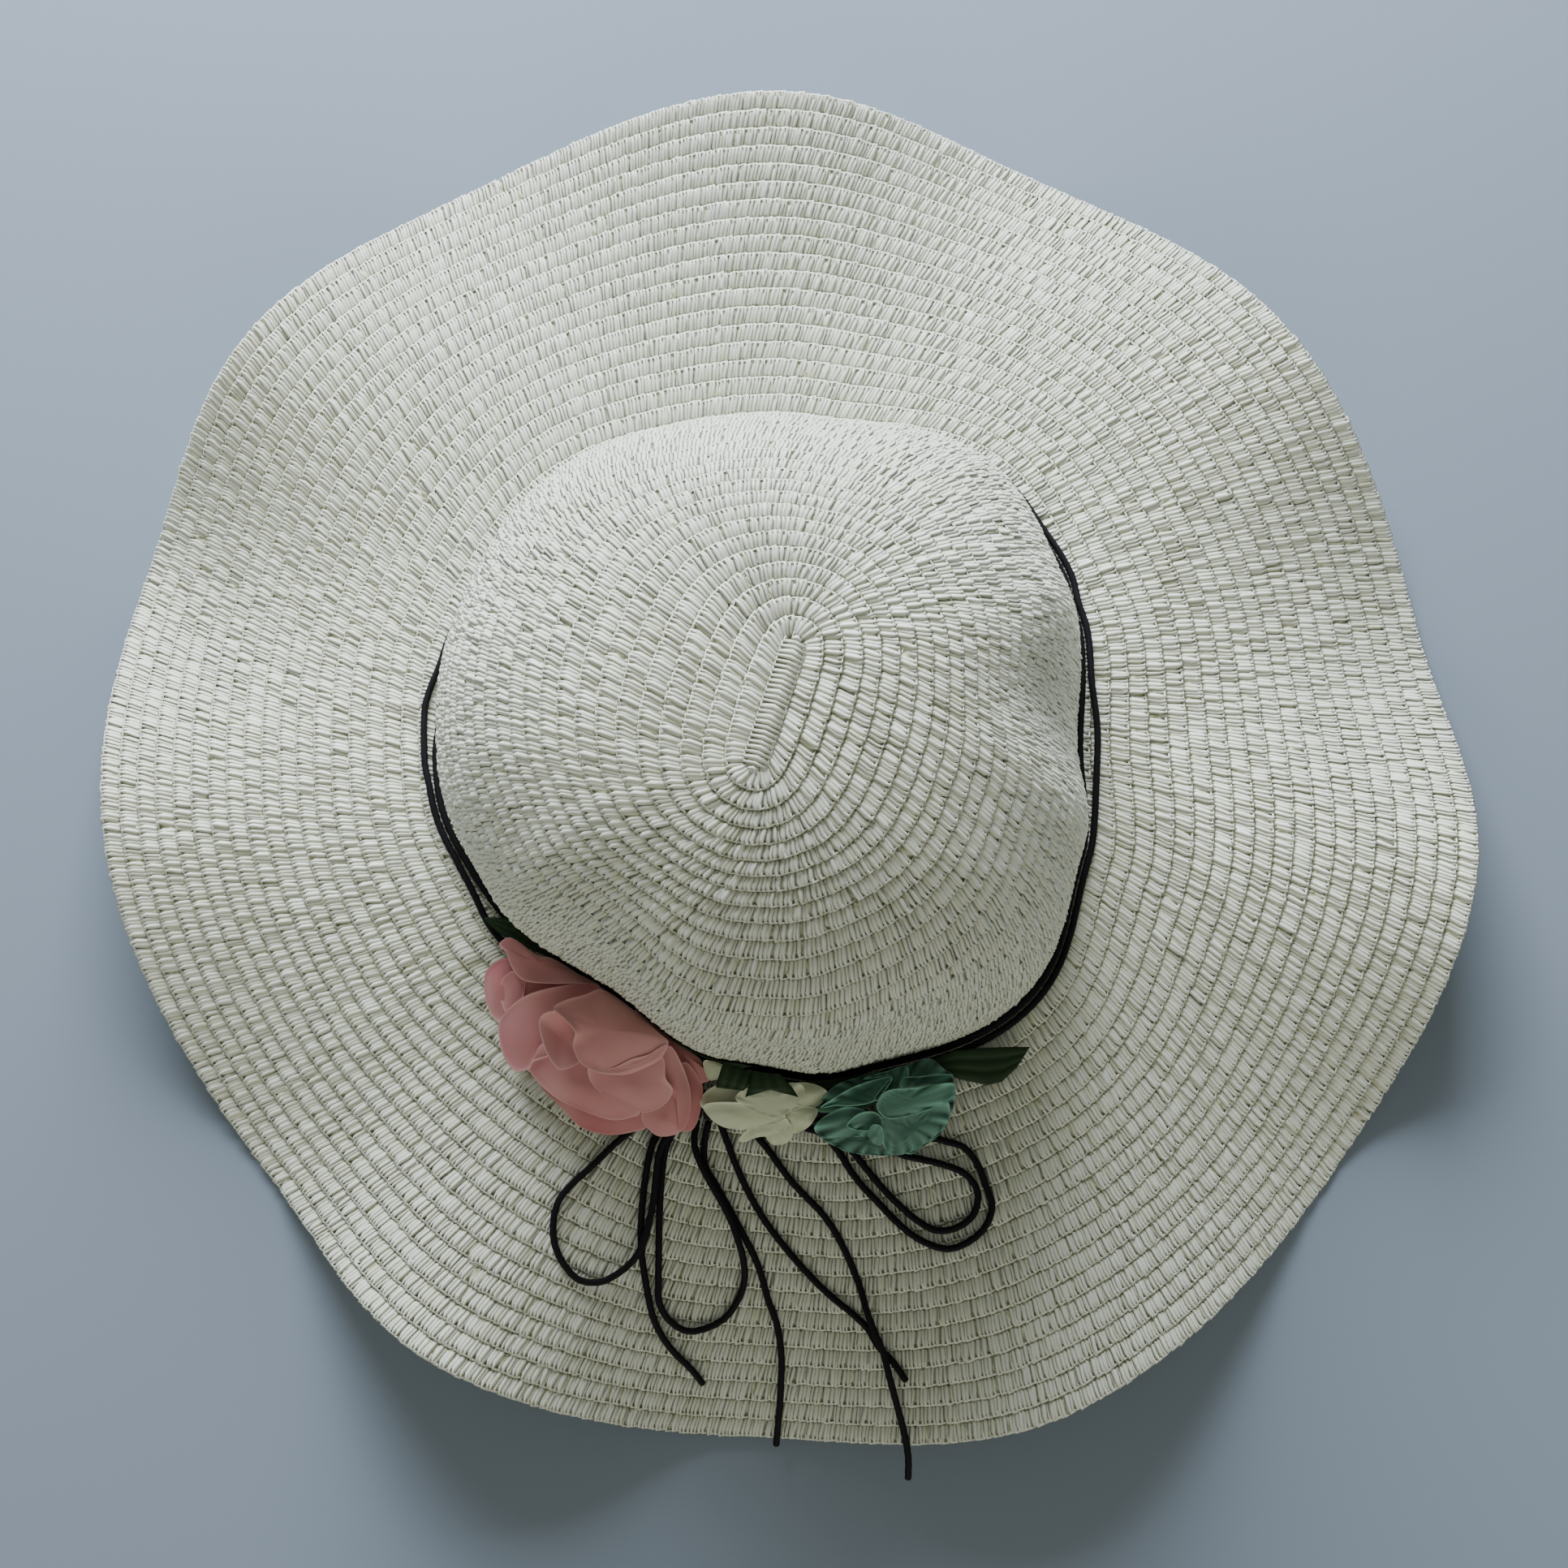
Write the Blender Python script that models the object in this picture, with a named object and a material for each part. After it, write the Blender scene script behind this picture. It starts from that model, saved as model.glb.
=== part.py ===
"""Wide-brimmed straw sun hat: a braided crown, a brim in seven waves, a double cord tied in a bow
and three cloth flowers with leaves. Metres, +Z up, crown upwards, flowers towards -Y. The pieces
are modelled about the crown's axis and stand under one empty, which puts the middle of the brim at
the origin and the lowest point of the brim at z = 0. Angles are degrees, anticlockwise from +X."""

import bpy
import numpy as np
from mathutils import Vector
from mathutils.bvhtree import BVHTree

# Driving sizes
STRAW = 0.0016  # thickness of the sewn braid
GAP = 0.0003  # clearance between pieces that touch
HEAD_RADIUS = 0.0965  # mean outside radius of the crown at the head line
HEAD_LINE = 0.0365  # height of the line where crown and brim meet
CROWN_HEIGHT = 0.103  # from the head line to the top
BUTTON_RADIUS = 0.009  # flat start of the braid at the top
CROWN_ROUNDNESS = 2.4  # exponent of the crown's upright section
BRIM_RADIUS = 0.205  # mean distance of the brim's edge from the crown's axis
WAVE_HEIGHT = 0.031  # from the lowest trough of the edge to its highest crest
BRIM_FALL = 0.021  # mean drop of the brim from the head line to the edge
WAVE_GROWTH = 1.7  # how late the waves rise on the way out
CORD = 0.0021  # diameter of the cord
LAYER = 1.25 * CORD  # height of a cord above another that it crosses
KNOT_LENGTH = 0.018  # of the bow's knot, along the crown's wall
KNOT_WIDTH = 0.009
KNOT_HEIGHT = 0.0060
KNOT_ANGLE = 261.7  # where the knot lies, about the crown's axis
KNOT_OUT = 0.0141  # from the crown's wall to the middle of the knot
PETAL = 0.0010  # thickness of a petal
LEAF = 0.0010  # thickness of a leaf
LEAF_WIDTH = 0.008
PINK_ANGLE = 242  # where the flower sits, about the crown's axis
PINK_OUT = 0.017  # from the crown's wall to the middle of the flower
PINK_MIDDLE = 0.013  # radius of the rounded middle that the petals grow from
PINK_REACH = 0.041  # from the middle of the flower to its longest petal's tip
PINK_HEIGHT = 0.024  # above the brim
WHITE_ANGLE = 269.8
WHITE_OUT = 0.0088
WHITE_MIDDLE = 0.0065
WHITE_REACH = 0.019
WHITE_HEIGHT = 0.014
TEAL_ANGLE = 289.1
TEAL_OUT = 0.0135
TEAL_MIDDLE = 0.0075
TEAL_REACH = 0.020
TEAL_HEIGHT = 0.017
CORD_DROOP = 0.35  # fall of a free end past the brim's edge, per length
PETAL_START = 0.15  # where a petal begins in its flower's middle, as a share of its length
MIDDLE_RISE = 0.12  # height of a flower's middle over its petals' roots, per flower height

# Numbers of faces
CROWN_SIDES = 56
CROWN_RINGS = 8
BRIM_SIDES = 84
BRIM_RINGS = 5
KNOT_SIDES = 10
PETAL_GRID = (3, 2)
LEAF_GRID = (4, 2)
CORD_STEP = 3.0 * CORD  # distance between the points of a cord's tube

# Outline of the crown at the head line: angle, share of HEAD_RADIUS
CROWN_OUTLINE = (
    (0, 0.955), (25, 1.03), (50, 1.10), (80, 0.975), (100, 0.965), (130, 1.01), (158, 0.97),
    (185, 0.945), (210, 0.90), (238, 0.83), (265, 0.93), (285, 0.99), (318, 1.08), (342, 1.005),
)
TOP_ROUNDING = 0.5  # share of the outline's unevenness that is gone at the top

# Shallow dents in the crown's wall: angle, half width in degrees, height share, half height
# share, depth as a share of HEAD_RADIUS. The last one stands out and fills the front's shoulder
CROWN_DENTS = (
    (5, 15, 0.52, 0.40, 0.10),
    (236, 24, 0.60, 0.45, 0.03),
    (265, 72, 0.72, 0.27, -0.09),
)

# Edge of the brim, crest and trough in turn: angle, height share of WAVE_HEIGHT, share of
# BRIM_RADIUS
BRIM_EDGE = (
    (12, 0.03, 1.020), (39, 1.00, 1.005), (65, 0.00, 1.024), (88, 0.98, 1.007),
    (117, 0.05, 1.016), (140, 1.00, 0.985), (163, 0.00, 0.985), (184, 0.90, 0.953),
    (219, 0.02, 0.943), (243, 1.00, 0.967), (268, 0.05, 0.976), (296, 0.90, 1.020),
    (324, 0.00, 1.034), (350, 1.00, 1.038),
)

# Where the two strands of the band stand off the crown's wall: angle, slack of the inner strand,
# slack of the outer strand, as shares of CORD
BAND_SLACK = (
    (2, 0.1, 1.5), (15, 0.0, 0.1), (24, 0.4, 0.4), (30, 1.3, 1.3), (42, 0.0, 0.0),
    (150, 0.0, 0.0), (163, 0.3, 0.5), (173, 0.6, 1.8), (181, 1.25, 1.7), (191, 1.15, 0.5),
    (203, 0.85, 1.0), (216, 0.1, 1.6), (246, 0.0, 1.6), (260, 0.0, 0.2), (300, 0.0, 0.0),
    (345, 0.0, 0.0),
)

# Cords of the bow: name, angle and layer of the end at the knot, points in millimetres from the
# middle of the knot with their layer, and angle and layer of the other end at the knot, or None
# where that end is free
BOW = (
    ("loop_left_outer", (175, 0), (
        (-18, -4.5, 0), (-25.5, -10, 0), (-34, -18, 0), (-42.5, -26.5, 0), (-44.5, -36, 0),
        (-42, -44.5, 0), (-35, -51, 0), (-26.5, -48.5, 0.5), (-20.5, -43, 1), (-17.5, -35.5, 1),
        (-15.5, -25.5, 1), (-14, -13.5, 1), (-10.5, -7, 1),
    ), (223, 1)),
    ("loop_left_inner", (230, 0), (
        (-10.5, -8.5, 0), (-12.5, -13.5, 0), (-14, -27.5, 0), (-14.5, -46, 0), (-14.5, -56, 0),
        (-13, -61, 0), (-7, -65.5, 0), (-3, -65.5, 0), (3.5, -63, 0), (8.5, -56.5, 0),
        (10.5, -49, 0.3), (9, -40.5, 1), (6, -32, 1), (0.5, -22, 1), (-2.5, -16, 1),
        (-4, -11, 0.6),
    ), (250, 0)),
    ("loop_right_outer", (335, 0), (
        (21, -5, 0), (29, -7, 0), (35, -10, 0), (42.5, -21, 0), (50, -29, 0), (56.5, -35.5, 0),
        (64, -40, 0), (69.5, -41, 0), (76.5, -38, 0), (81, -32.5, 0), (81.5, -27, 0),
        (79.5, -22, 0), (77, -16, 0), (72.5, -11.5, 0), (64.5, -9.5, 0), (53, -5.5, 0),
        (42, -1, 0.3), (32, 3, 1), (22, 5.5, 1), (12, 4, 1),
    ), (32, 1)),
    ("loop_right_inner", (0, 0), (
        (23, -2, 0), (34, -6, 0), (42.5, -14.5, 0), (49, -22.5, 0), (56.5, -30, 0),
        (62.5, -34.5, 0), (67.5, -36, 0), (73.5, -34, 0), (77, -30, 0), (77.5, -25, 0),
        (75, -20.5, 0), (67.5, -17, 0), (55, -14, 0), (46, -9, 0), (35, -3, 0), (25, 0.5, 0.5),
        (17, 1.5, 1),
    ), (3, 1)),
    ("tail_a", (205, 0), (
        (-14.5, -8, 0), (-17, -14.5, 0), (-19, -27.5, 0), (-19.5, -41, 0), (-18, -52.5, 0),
        (-16, -62, 0), (-11.5, -70.5, 0), (-3, -79.5, 0), (-2, -81.5, 0),
    ), None),
    ("tail_b", (270, 0), (
        (-1, -10.5, 0), (-1.5, -16, 0), (3.5, -25.5, 0), (10, -37.5, 0), (14.5, -47, 0),
        (17, -56, 0), (19.5, -63, 0), (21, -71.5, 0), (21, -79.5, 0), (20.5, -89.5, 0),
        (19.5, -100, 0),
    ), None),
    ("tail_c", (290, 0), (
        (5, -9.5, 0), (9.5, -21, 0), (16, -33, 0), (24.5, -44, 0), (33.5, -53.5, 0),
        (42, -60.5, 0), (47, -65.5, 0), (49.5, -70, 0), (53.5, -74, 0), (57, -79, 0),
    ), None),
    ("tail_d", (310, 0), (
        (14, -9, 0), (24, -22, 0), (33.5, -32, 0), (39, -41, 0), (43.5, -51.5, 0),
        (46.5, -61.5, 1), (50.5, -71, 1), (52.5, -79, 1), (55, -88, 0.5), (57, -96, 0),
        (58, -102.5, 0), (58, -108, 0),
    ), None),
)

# Section of the knot: share of its half width, share of its height
KNOT_SECTION = ((0.80, 0.0), (1.0, 0.25), (1.0, 0.60), (0.80, 0.88), (0.40, 1.0))

# Section of a flower's middle: share of its radius, share of its height
MIDDLE_SECTION = ((0.80, 0.0), (1.0, 0.15), (0.95, 0.50), (0.70, 0.82), (0.30, 1.0))

# Petals: azimuth, reach share, width share of the reach, height share at the root, height share
# at the tip, cupping as a share of the width
PINK_PETALS = (
    (133, 1.00, 0.38, 0.36, 0.62, 0.10),
    (155, 0.88, 0.38, 0.36, 0.46, 0.10),
    (192, 0.66, 0.46, 0.36, 0.42, 0.10),
    (225, 0.66, 0.46, 0.36, 0.38, 0.08),
    (270, 0.66, 0.52, 0.36, 0.38, 0.08),
    (306, 0.82, 0.42, 0.40, 0.44, 0.10),
    (331, 0.88, 0.34, 0.42, 0.50, 0.10),
    (358, 0.76, 0.46, 0.40, 0.50, 0.06),
    (288, 0.48, 0.55, 0.44, 0.56, 0.10),
    (320, 0.42, 0.60, 0.46, 0.76, 0.10),
    (195, 0.36, 0.42, 0.44, 0.98, 0.30),
    (60, 0.34, 0.46, 0.44, 0.92, 0.20),
)
WHITE_PETALS = (
    (180, 0.78, 0.62, 0.64, 0.68, 0.08),
    (217, 0.85, 0.62, 0.64, 0.66, 0.08),
    (255, 0.78, 0.62, 0.64, 0.66, 0.08),
    (293, 0.76, 0.62, 0.64, 0.66, 0.08),
    (328, 0.86, 0.60, 0.64, 0.66, 0.08),
    (5, 0.82, 0.60, 0.64, 0.68, 0.08),
    (235, 0.42, 0.46, 0.64, 0.90, 0.20),
    (320, 0.42, 0.46, 0.64, 0.88, 0.20),
)
TEAL_PETALS = (
    (0, 0.96, 0.50, 0.50, 0.56, 0.10),
    (40, 0.74, 0.50, 0.50, 0.60, 0.10),
    (140, 0.72, 0.50, 0.50, 0.60, 0.10),
    (182, 0.94, 0.50, 0.50, 0.56, 0.10),
    (222, 0.94, 0.50, 0.50, 0.54, 0.10),
    (262, 0.84, 0.50, 0.50, 0.54, 0.10),
    (302, 0.88, 0.50, 0.50, 0.54, 0.10),
    (334, 0.98, 0.44, 0.50, 0.56, 0.10),
    (25, 0.44, 0.44, 0.50, 0.96, 0.20),
    (145, 0.44, 0.44, 0.50, 0.92, 0.20),
    (265, 0.44, 0.44, 0.50, 1.00, 0.20),
)

# Leaves: name, angle at the root, angle at the tip, distance from the crown's wall at the root and
# at the tip as shares of LEAF_WIDTH, width share, height above the cords, rise of the edge
# nearest the wall as a share of LEAF_WIDTH
LEAVES = (
    ("leaf_left", 231, 210, 0.62, 0.82, 1.0, 0.0, 0.0),
    ("leaf_front_left", 261.5, 251, 0.55, 0.50, 0.9, 0.70 * PINK_HEIGHT, 0.25),
    ("leaf_front_right", 263.5, 277, 0.60, 0.62, 1.0, 0.80 * WHITE_HEIGHT, 0.2),
    ("leaf_ribbon", 281, 293, 0.32, 0.32, 0.5, 0.0, 0.0),
    ("leaf_right", 298.5, 311, 0.80, 1.60, 1.1, 0.0, 0.0),
)


def clear_scene():
    for item in list(bpy.data.objects):
        bpy.data.objects.remove(item, do_unlink=True)


def finish(name, colour, roughness):
    """A Principled material in one colour."""
    made = bpy.data.materials.new(name)
    made.use_nodes = True
    shader = made.node_tree.nodes["Principled BSDF"]
    shader.inputs["Base Color"].default_value = (*colour, 1)
    shader.inputs["Roughness"].default_value = roughness
    shader.inputs["Metallic"].default_value = 0
    return made


def place(name, data, colour, roughness, axis):
    """Adds an object of this name to the scene, under the empty on the crown's axis."""
    data.materials.append(finish(name, colour, roughness))
    item = bpy.data.objects.new(name, data)
    bpy.context.scene.collection.objects.link(item)
    item.parent = axis
    return item


def periodic(table, column, angle):
    """A table's column at angles in degrees: each stretch between two rows is half a cosine."""
    rows = np.array(table, float)
    turns = np.concatenate([rows[:, 0] - 360, rows[:, 0], rows[:, 0] + 360])
    values = np.tile(rows[:, column], 3)
    angle = np.mod(angle, 360)
    right = np.searchsorted(turns, angle, side="right")
    share = (angle - turns[right - 1]) / (turns[right] - turns[right - 1])
    ease = 0.5 - 0.5 * np.cos(np.pi * share)
    return values[right - 1] + (values[right] - values[right - 1]) * ease


def head_radius(angle):
    """Outside radius of the crown at the head line."""
    return HEAD_RADIUS * periodic(CROWN_OUTLINE, 1, angle)


def crown_radius(angle, rise):
    """Radius of the crown's outer surface: a superellipse section turned round the axis, whose
    radius follows the outline and the dents. rise runs from 0 at the head line to 1 at the top."""
    radius = (1 - rise**CROWN_ROUNDNESS) ** (1 / CROWN_ROUNDNESS)
    radius = radius * (1 + (periodic(CROWN_OUTLINE, 1, angle) - 1) * (1 - TOP_ROUNDING * rise))
    for middle, half_width, level, half_height, depth in CROWN_DENTS:
        across = np.abs((angle - middle + 180) % 360 - 180) / half_width
        upward = np.abs(rise - level) / half_height
        dent = np.cos(np.pi / 2 * np.minimum(across, 1)) ** 2
        radius = radius - depth * dent * np.cos(np.pi / 2 * np.minimum(upward, 1)) ** 2
    return HEAD_RADIUS * radius


def wall_radius(angle, height):
    """Radius of the crown's outer surface at a height."""
    rise = np.clip((height - HEAD_LINE) / CROWN_HEIGHT, 0, 1)
    return crown_radius(angle, rise)


def brim_limits(angle):
    """Distances of the brim's inner and outer edge from the axis."""
    return head_radius(angle) - STRAW, BRIM_RADIUS * periodic(BRIM_EDGE, 2, angle)


def brim_height(angle, share):
    """Height of the brim's upper face: a mean fall, and waves that grow towards the edge.
    share runs from 0 at the head line to 1 at the edge."""
    start = HEAD_LINE - GAP
    edge = STRAW + WAVE_HEIGHT * periodic(BRIM_EDGE, 1, angle)
    return start - BRIM_FALL * share + (edge - start + BRIM_FALL) * share**WAVE_GROWTH


def brim_under(x, y):
    """Height of the brim's upper face at a point of the plan. Past the edge it is the edge's."""
    angle = np.degrees(np.arctan2(y, x))
    inner, outer = brim_limits(angle)
    share = np.clip((np.hypot(x, y) - inner) / (outer - inner), 0, 1)
    return brim_height(angle, share)


def polar(reach, angle, height):
    """Points at a distance from the axis, an angle and a height."""
    turn = np.radians(angle)
    return np.stack(np.broadcast_arrays(reach * np.cos(turn), reach * np.sin(turn), height), -1)


def sheet_mesh(name, grid, around=False, first_cap=False, last_cap=False):
    """Quads over a grid of points in rows and columns. around joins the last column to the first,
    and the caps close the first and the last row with one face."""
    rows, columns = grid.shape[:2]
    index = np.arange(rows * columns).reshape(rows, columns)
    right = np.roll(index, -1, 1)
    if not around:
        index, right = index[:, :-1], right[:, :-1]
    quads = np.stack([index[:-1], right[:-1], right[1:], index[1:]], -1)
    faces = quads.reshape(-1, 4).tolist()
    if first_cap:
        faces.append(index[0, ::-1].tolist())
    if last_cap:
        faces.append(index[-1].tolist())
    mesh = bpy.data.meshes.new(name)
    mesh.from_pydata(grid.reshape(-1, 3).tolist(), [], faces)
    mesh.shade_smooth()
    mesh.set_sharp_from_angle(angle=np.radians(50))
    return mesh


def thicken(item, thickness, offset):
    """A wall of even thickness: offset -1 grows it away from the normals, 0 to both sides."""
    wall = item.modifiers.new("wall", "SOLIDIFY")
    wall.thickness = thickness
    wall.offset = offset
    wall.use_even_offset = True
    wall.use_rim = True


def make_crown(axis):
    """Rings from the head line up to the flat button at the top."""
    button = BUTTON_RADIUS / HEAD_RADIUS
    top_turn = np.arccos(button ** (CROWN_ROUNDNESS / 2))
    turn = np.linspace(0, top_turn, CROWN_RINGS + 1)[:, None]
    rise = np.sin(turn) ** (2 / CROWN_ROUNDNESS)
    angle = np.arange(CROWN_SIDES)[None, :] * 360 / CROWN_SIDES
    grid = polar(crown_radius(angle, rise), angle, HEAD_LINE + CROWN_HEIGHT * rise)
    mesh = sheet_mesh("crown", grid, around=True, last_cap=True)
    thicken(place("crown", mesh, (0.62, 0.58, 0.44), 0.6, axis), STRAW, -1)


def make_brim(axis):
    """Rings from the edge in to the crown's inner wall, along straight rays from the axis."""
    share = np.linspace(1, 0, BRIM_RINGS + 1)[:, None]
    angle = np.arange(BRIM_SIDES)[None, :] * 360 / BRIM_SIDES
    inner, outer = brim_limits(angle)
    grid = polar(inner + (outer - inner) * share, angle, brim_height(angle, share))
    mesh = sheet_mesh("brim", grid, around=True)
    brim = place("brim", mesh, (0.62, 0.58, 0.44), 0.6, axis)
    thicken(brim, STRAW, -1)
    return brim


def tree_of(item):
    """The faces of an object as it is drawn, for finding the surface under a point."""
    bpy.context.view_layer.update()
    return BVHTree.FromObject(item, bpy.context.evaluated_depsgraph_get())


def ground(tree, x, y):
    """Height of the brim's faces under a point of the plan. Past the edge, it sinks slowly."""
    inner, outer = brim_limits(np.degrees(np.arctan2(y, x)))
    reach = np.hypot(x, y)
    past = max(reach / (outer - GAP), 1)
    above = Vector((x / past, y / past, HEAD_LINE + CROWN_HEIGHT))
    hit = tree.ray_cast(above, Vector((0, 0, -1)))[0]
    return hit.z - CORD_DROOP * (reach - reach / past)


def lying_height(tree, x, y):
    """Height of the middle of a cord that lies at a point of the plan, as a ball rests there."""
    radius = CORD / 2
    heights = [ground(tree, x, y) + radius]
    for share in (0.5, 0.85):
        for turn in np.arange(8) * np.pi / 4:
            side_x = x + share * radius * np.cos(turn)
            side_y = y + share * radius * np.sin(turn)
            heights.append(ground(tree, side_x, side_y) + radius * np.sqrt(1 - share**2))
    return max(heights) + GAP


def laid_points(tree, rows):
    """Points of a cord on the brim, from rows of x, y and layer."""
    return np.array([(x, y, lying_height(tree, x, y) + layer * LAYER) for x, y, layer in rows])


def tube(name, points, axis, closed=False):
    """A cord of the named diameter through these points."""
    curve = bpy.data.curves.new(name, "CURVE")
    curve.dimensions = "3D"
    curve.bevel_depth = CORD / 2
    curve.bevel_resolution = 2
    curve.use_fill_caps = not closed
    line = curve.splines.new("POLY")
    line.points.add(len(points) - 1)
    line.points.foreach_set("co", np.column_stack([points, np.ones(len(points))]).ravel())
    line.use_cyclic_u = closed
    line.use_smooth = True
    return place(name, curve, (0.012, 0.010, 0.014), 0.45, axis)


def make_band(tree, axis):
    """Two strands round the foot of the crown, each a whole loop, the outer beside the inner."""
    angle = np.arange(CROWN_SIDES) * 360 / CROWN_SIDES
    foot = np.maximum(head_radius(angle), wall_radius(angle, HEAD_LINE + CORD))
    inner = foot + GAP + CORD * (0.5 + periodic(BAND_SLACK, 1, angle))
    outer = foot + 2 * GAP + CORD * (1.5 + periodic(BAND_SLACK, 2, angle))
    outer = np.maximum(outer, inner + CORD + GAP)
    for name, reach in (("band_inner", inner), ("band_outer", outer)):
        points = laid_points(tree, polar(reach, angle, 0))
        tube(name, points, axis, closed=True)


def knot_middle():
    """The middle of the knot in the plan, off the crown's wall."""
    return polar(head_radius(KNOT_ANGLE) + KNOT_OUT, KNOT_ANGLE, 0)[:2]


def knot_end(angle, layer):
    """Where a cord ends beside the knot: x, y from the knot's middle, and its layer."""
    turn = np.radians(angle)
    clearance = 2 * GAP
    across = (KNOT_LENGTH / 2 + clearance) * np.cos(turn)
    return across, (KNOT_WIDTH / 2 + clearance) * np.sin(turn), layer


def draped(x, y, height):
    """Points at a height above the brim."""
    return np.stack([x, y, brim_under(x, y) + height], -1)


def make_knot(axis):
    """An oval lump that lies on the brim."""
    angle = np.arange(KNOT_SIDES)[None, :] * 2 * np.pi / KNOT_SIDES
    section = np.array(KNOT_SECTION)
    share, level = section[:, :1], section[:, 1:]
    x, y = knot_middle()
    grid = draped(
        x + share * KNOT_LENGTH / 2 * np.cos(angle),
        y + share * KNOT_WIDTH / 2 * np.sin(angle),
        GAP + level * KNOT_HEIGHT,
    )
    mesh = sheet_mesh("bow_knot", grid, around=True, first_cap=True, last_cap=True)
    place("bow_knot", mesh, (0.012, 0.010, 0.014), 0.45, axis)


def smooth_through(rows):
    """Rows at even steps along a smooth curve through the rows of a route."""
    rows = np.array(rows, float)
    wide = np.vstack([2 * rows[0] - rows[1], rows, 2 * rows[-1] - rows[-2]])
    share = np.linspace(0, 1, 12, endpoint=False)[:, None]
    pieces = []
    for before, start, end, after in zip(wide, wide[1:], wide[2:], wide[3:]):
        bend = 2 * before - 5 * start + 4 * end - after
        turn = 3 * (start - end) + after - before
        pieces.append(start + ((end - before) * share + bend * share**2 + turn * share**3) / 2)
    fine = np.vstack([*pieces, rows[-1:]])
    run = np.append(0, np.cumsum(np.hypot(*np.diff(fine[:, :2], axis=0).T)))
    stops = np.linspace(0, run[-1], round(run[-1] / CORD_STEP) + 1)
    return np.column_stack([np.interp(stops, run, column) for column in fine.T])


def make_bow(tree, axis):
    """Loops and ends of the cord, from the knot out over the brim."""
    x, y = knot_middle()
    to_metres = np.array([0.001, 0.001, 1])
    for name, start, points, end in BOW:
        route = [knot_end(*start), *(np.array(points) * to_metres)]
        if end:
            route.append(knot_end(*end))
        rows = smooth_through(np.array(route) + (x, y, 0))
        tube(name, laid_points(tree, rows), axis)


def off_the_wall(x, y, height, distance):
    """Moves points of the plan outwards, so that they stay at a distance from the crown's wall at
    their height above the brim: those near it most, those far from it hardly."""
    angle = np.degrees(np.arctan2(y, x))
    reach = np.hypot(x, y)
    wall = wall_radius(angle, brim_under(x, y) + height)
    softness = distance
    clear = distance + softness * np.logaddexp(0, (reach - wall - distance) / softness)
    return x / reach * (wall + clear), y / reach * (wall + clear)


def petal_grid(middle, reach, height, row):
    """The middle surface of one petal: narrow at the root, widest past its half, blunt and round
    at the tip, with its long sides cupped upwards."""
    azimuth, reach_share, width_share, root, tip, cup = row
    along, across = np.meshgrid(
        np.linspace(0, 1, PETAL_GRID[0] + 1), np.linspace(-1, 1, PETAL_GRID[1] + 1), indexing="ij"
    )
    length = reach * reach_share
    width = reach * width_share
    half = width / 2 * (0.45 + 0.55 * np.sin(0.9 * np.pi * along))
    out = length * (PETAL_START + (1 - PETAL_START) * along * (1 - 0.10 * across**2))
    side = half * across
    turn = np.radians(azimuth)
    x = middle[0] + out * np.cos(turn) - side * np.sin(turn)
    y = middle[1] + out * np.sin(turn) + side * np.cos(turn)
    level = height * (root + (tip - root) * along) + cup * width * across**2 * along
    x, y = off_the_wall(x, y, level, LEAF + 3 * GAP + PETAL / 2)
    return draped(x, y, np.maximum(level, petal_floor()))


def petal_floor():
    """Least height of a petal's middle surface above the brim, which clears the knot and two
    cords over each other."""
    return max(KNOT_HEIGHT, CORD + LAYER) + 4 * GAP + PETAL / 2


def flower_middle(name, middle, radius, foot, top):
    """The rounded middle that the petals grow from, as a mesh."""
    angle = np.arange(KNOT_SIDES)[None, :] * 2 * np.pi / KNOT_SIDES
    section = np.array(MIDDLE_SECTION)
    share, level = section[:, :1], section[:, 1:]
    x = middle[0] + share * radius * np.cos(angle)
    y = middle[1] + share * radius * np.sin(angle)
    grid = draped(x, y, foot + level * (top - foot))
    return sheet_mesh(name, grid, around=True, first_cap=True, last_cap=True)


def make_flower(name, angle, out, radius, foot, reach, height, petals, colour, axis):
    """A middle that stands over the cords, with its petals joined to it."""
    middle = polar(head_radius(angle) + out, angle, 0)[:2]
    core_top = height * (petals[0][3] + MIDDLE_RISE)
    mesh = flower_middle(name, middle, radius, foot, core_top)
    flower = place(name, mesh, colour, 0.7, axis)
    guides = bpy.data.collections.new(name + "_petals")
    bpy.context.scene.collection.children.link(guides)
    for number, row in enumerate(petals):
        part = f"{name}_petal_{number}"
        sheet = sheet_mesh(part, petal_grid(middle, reach, height, row))
        petal = place(part, sheet, colour, 0.7, axis)
        thicken(petal, PETAL, 0)
        petal.hide_render = True
        petal.display_type = "WIRE"
        bpy.context.scene.collection.objects.unlink(petal)
        guides.objects.link(petal)
    join = flower.modifiers.new("petals", "BOOLEAN")
    join.operation = "UNION"
    join.operand_type = "COLLECTION"
    join.collection = guides


def make_flowers(axis):
    """The pink flower and the teal one stand over the band's strands, the white one over two
    cords that cross."""
    over_one = CORD + 3 * GAP
    over_two = CORD + LAYER + 3 * GAP
    make_flower(
        "flower_pink", PINK_ANGLE, PINK_OUT, PINK_MIDDLE, over_one, PINK_REACH, PINK_HEIGHT,
        PINK_PETALS, (0.55, 0.20, 0.22), axis,
    )
    make_flower(
        "flower_white", WHITE_ANGLE, WHITE_OUT, WHITE_MIDDLE, over_two, WHITE_REACH, WHITE_HEIGHT,
        WHITE_PETALS, (0.80, 0.76, 0.66), axis,
    )
    make_flower(
        "flower_teal", TEAL_ANGLE, TEAL_OUT, TEAL_MIDDLE, over_one, TEAL_REACH, TEAL_HEIGHT,
        TEAL_PETALS, (0.07, 0.20, 0.15), axis,
    )


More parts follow.
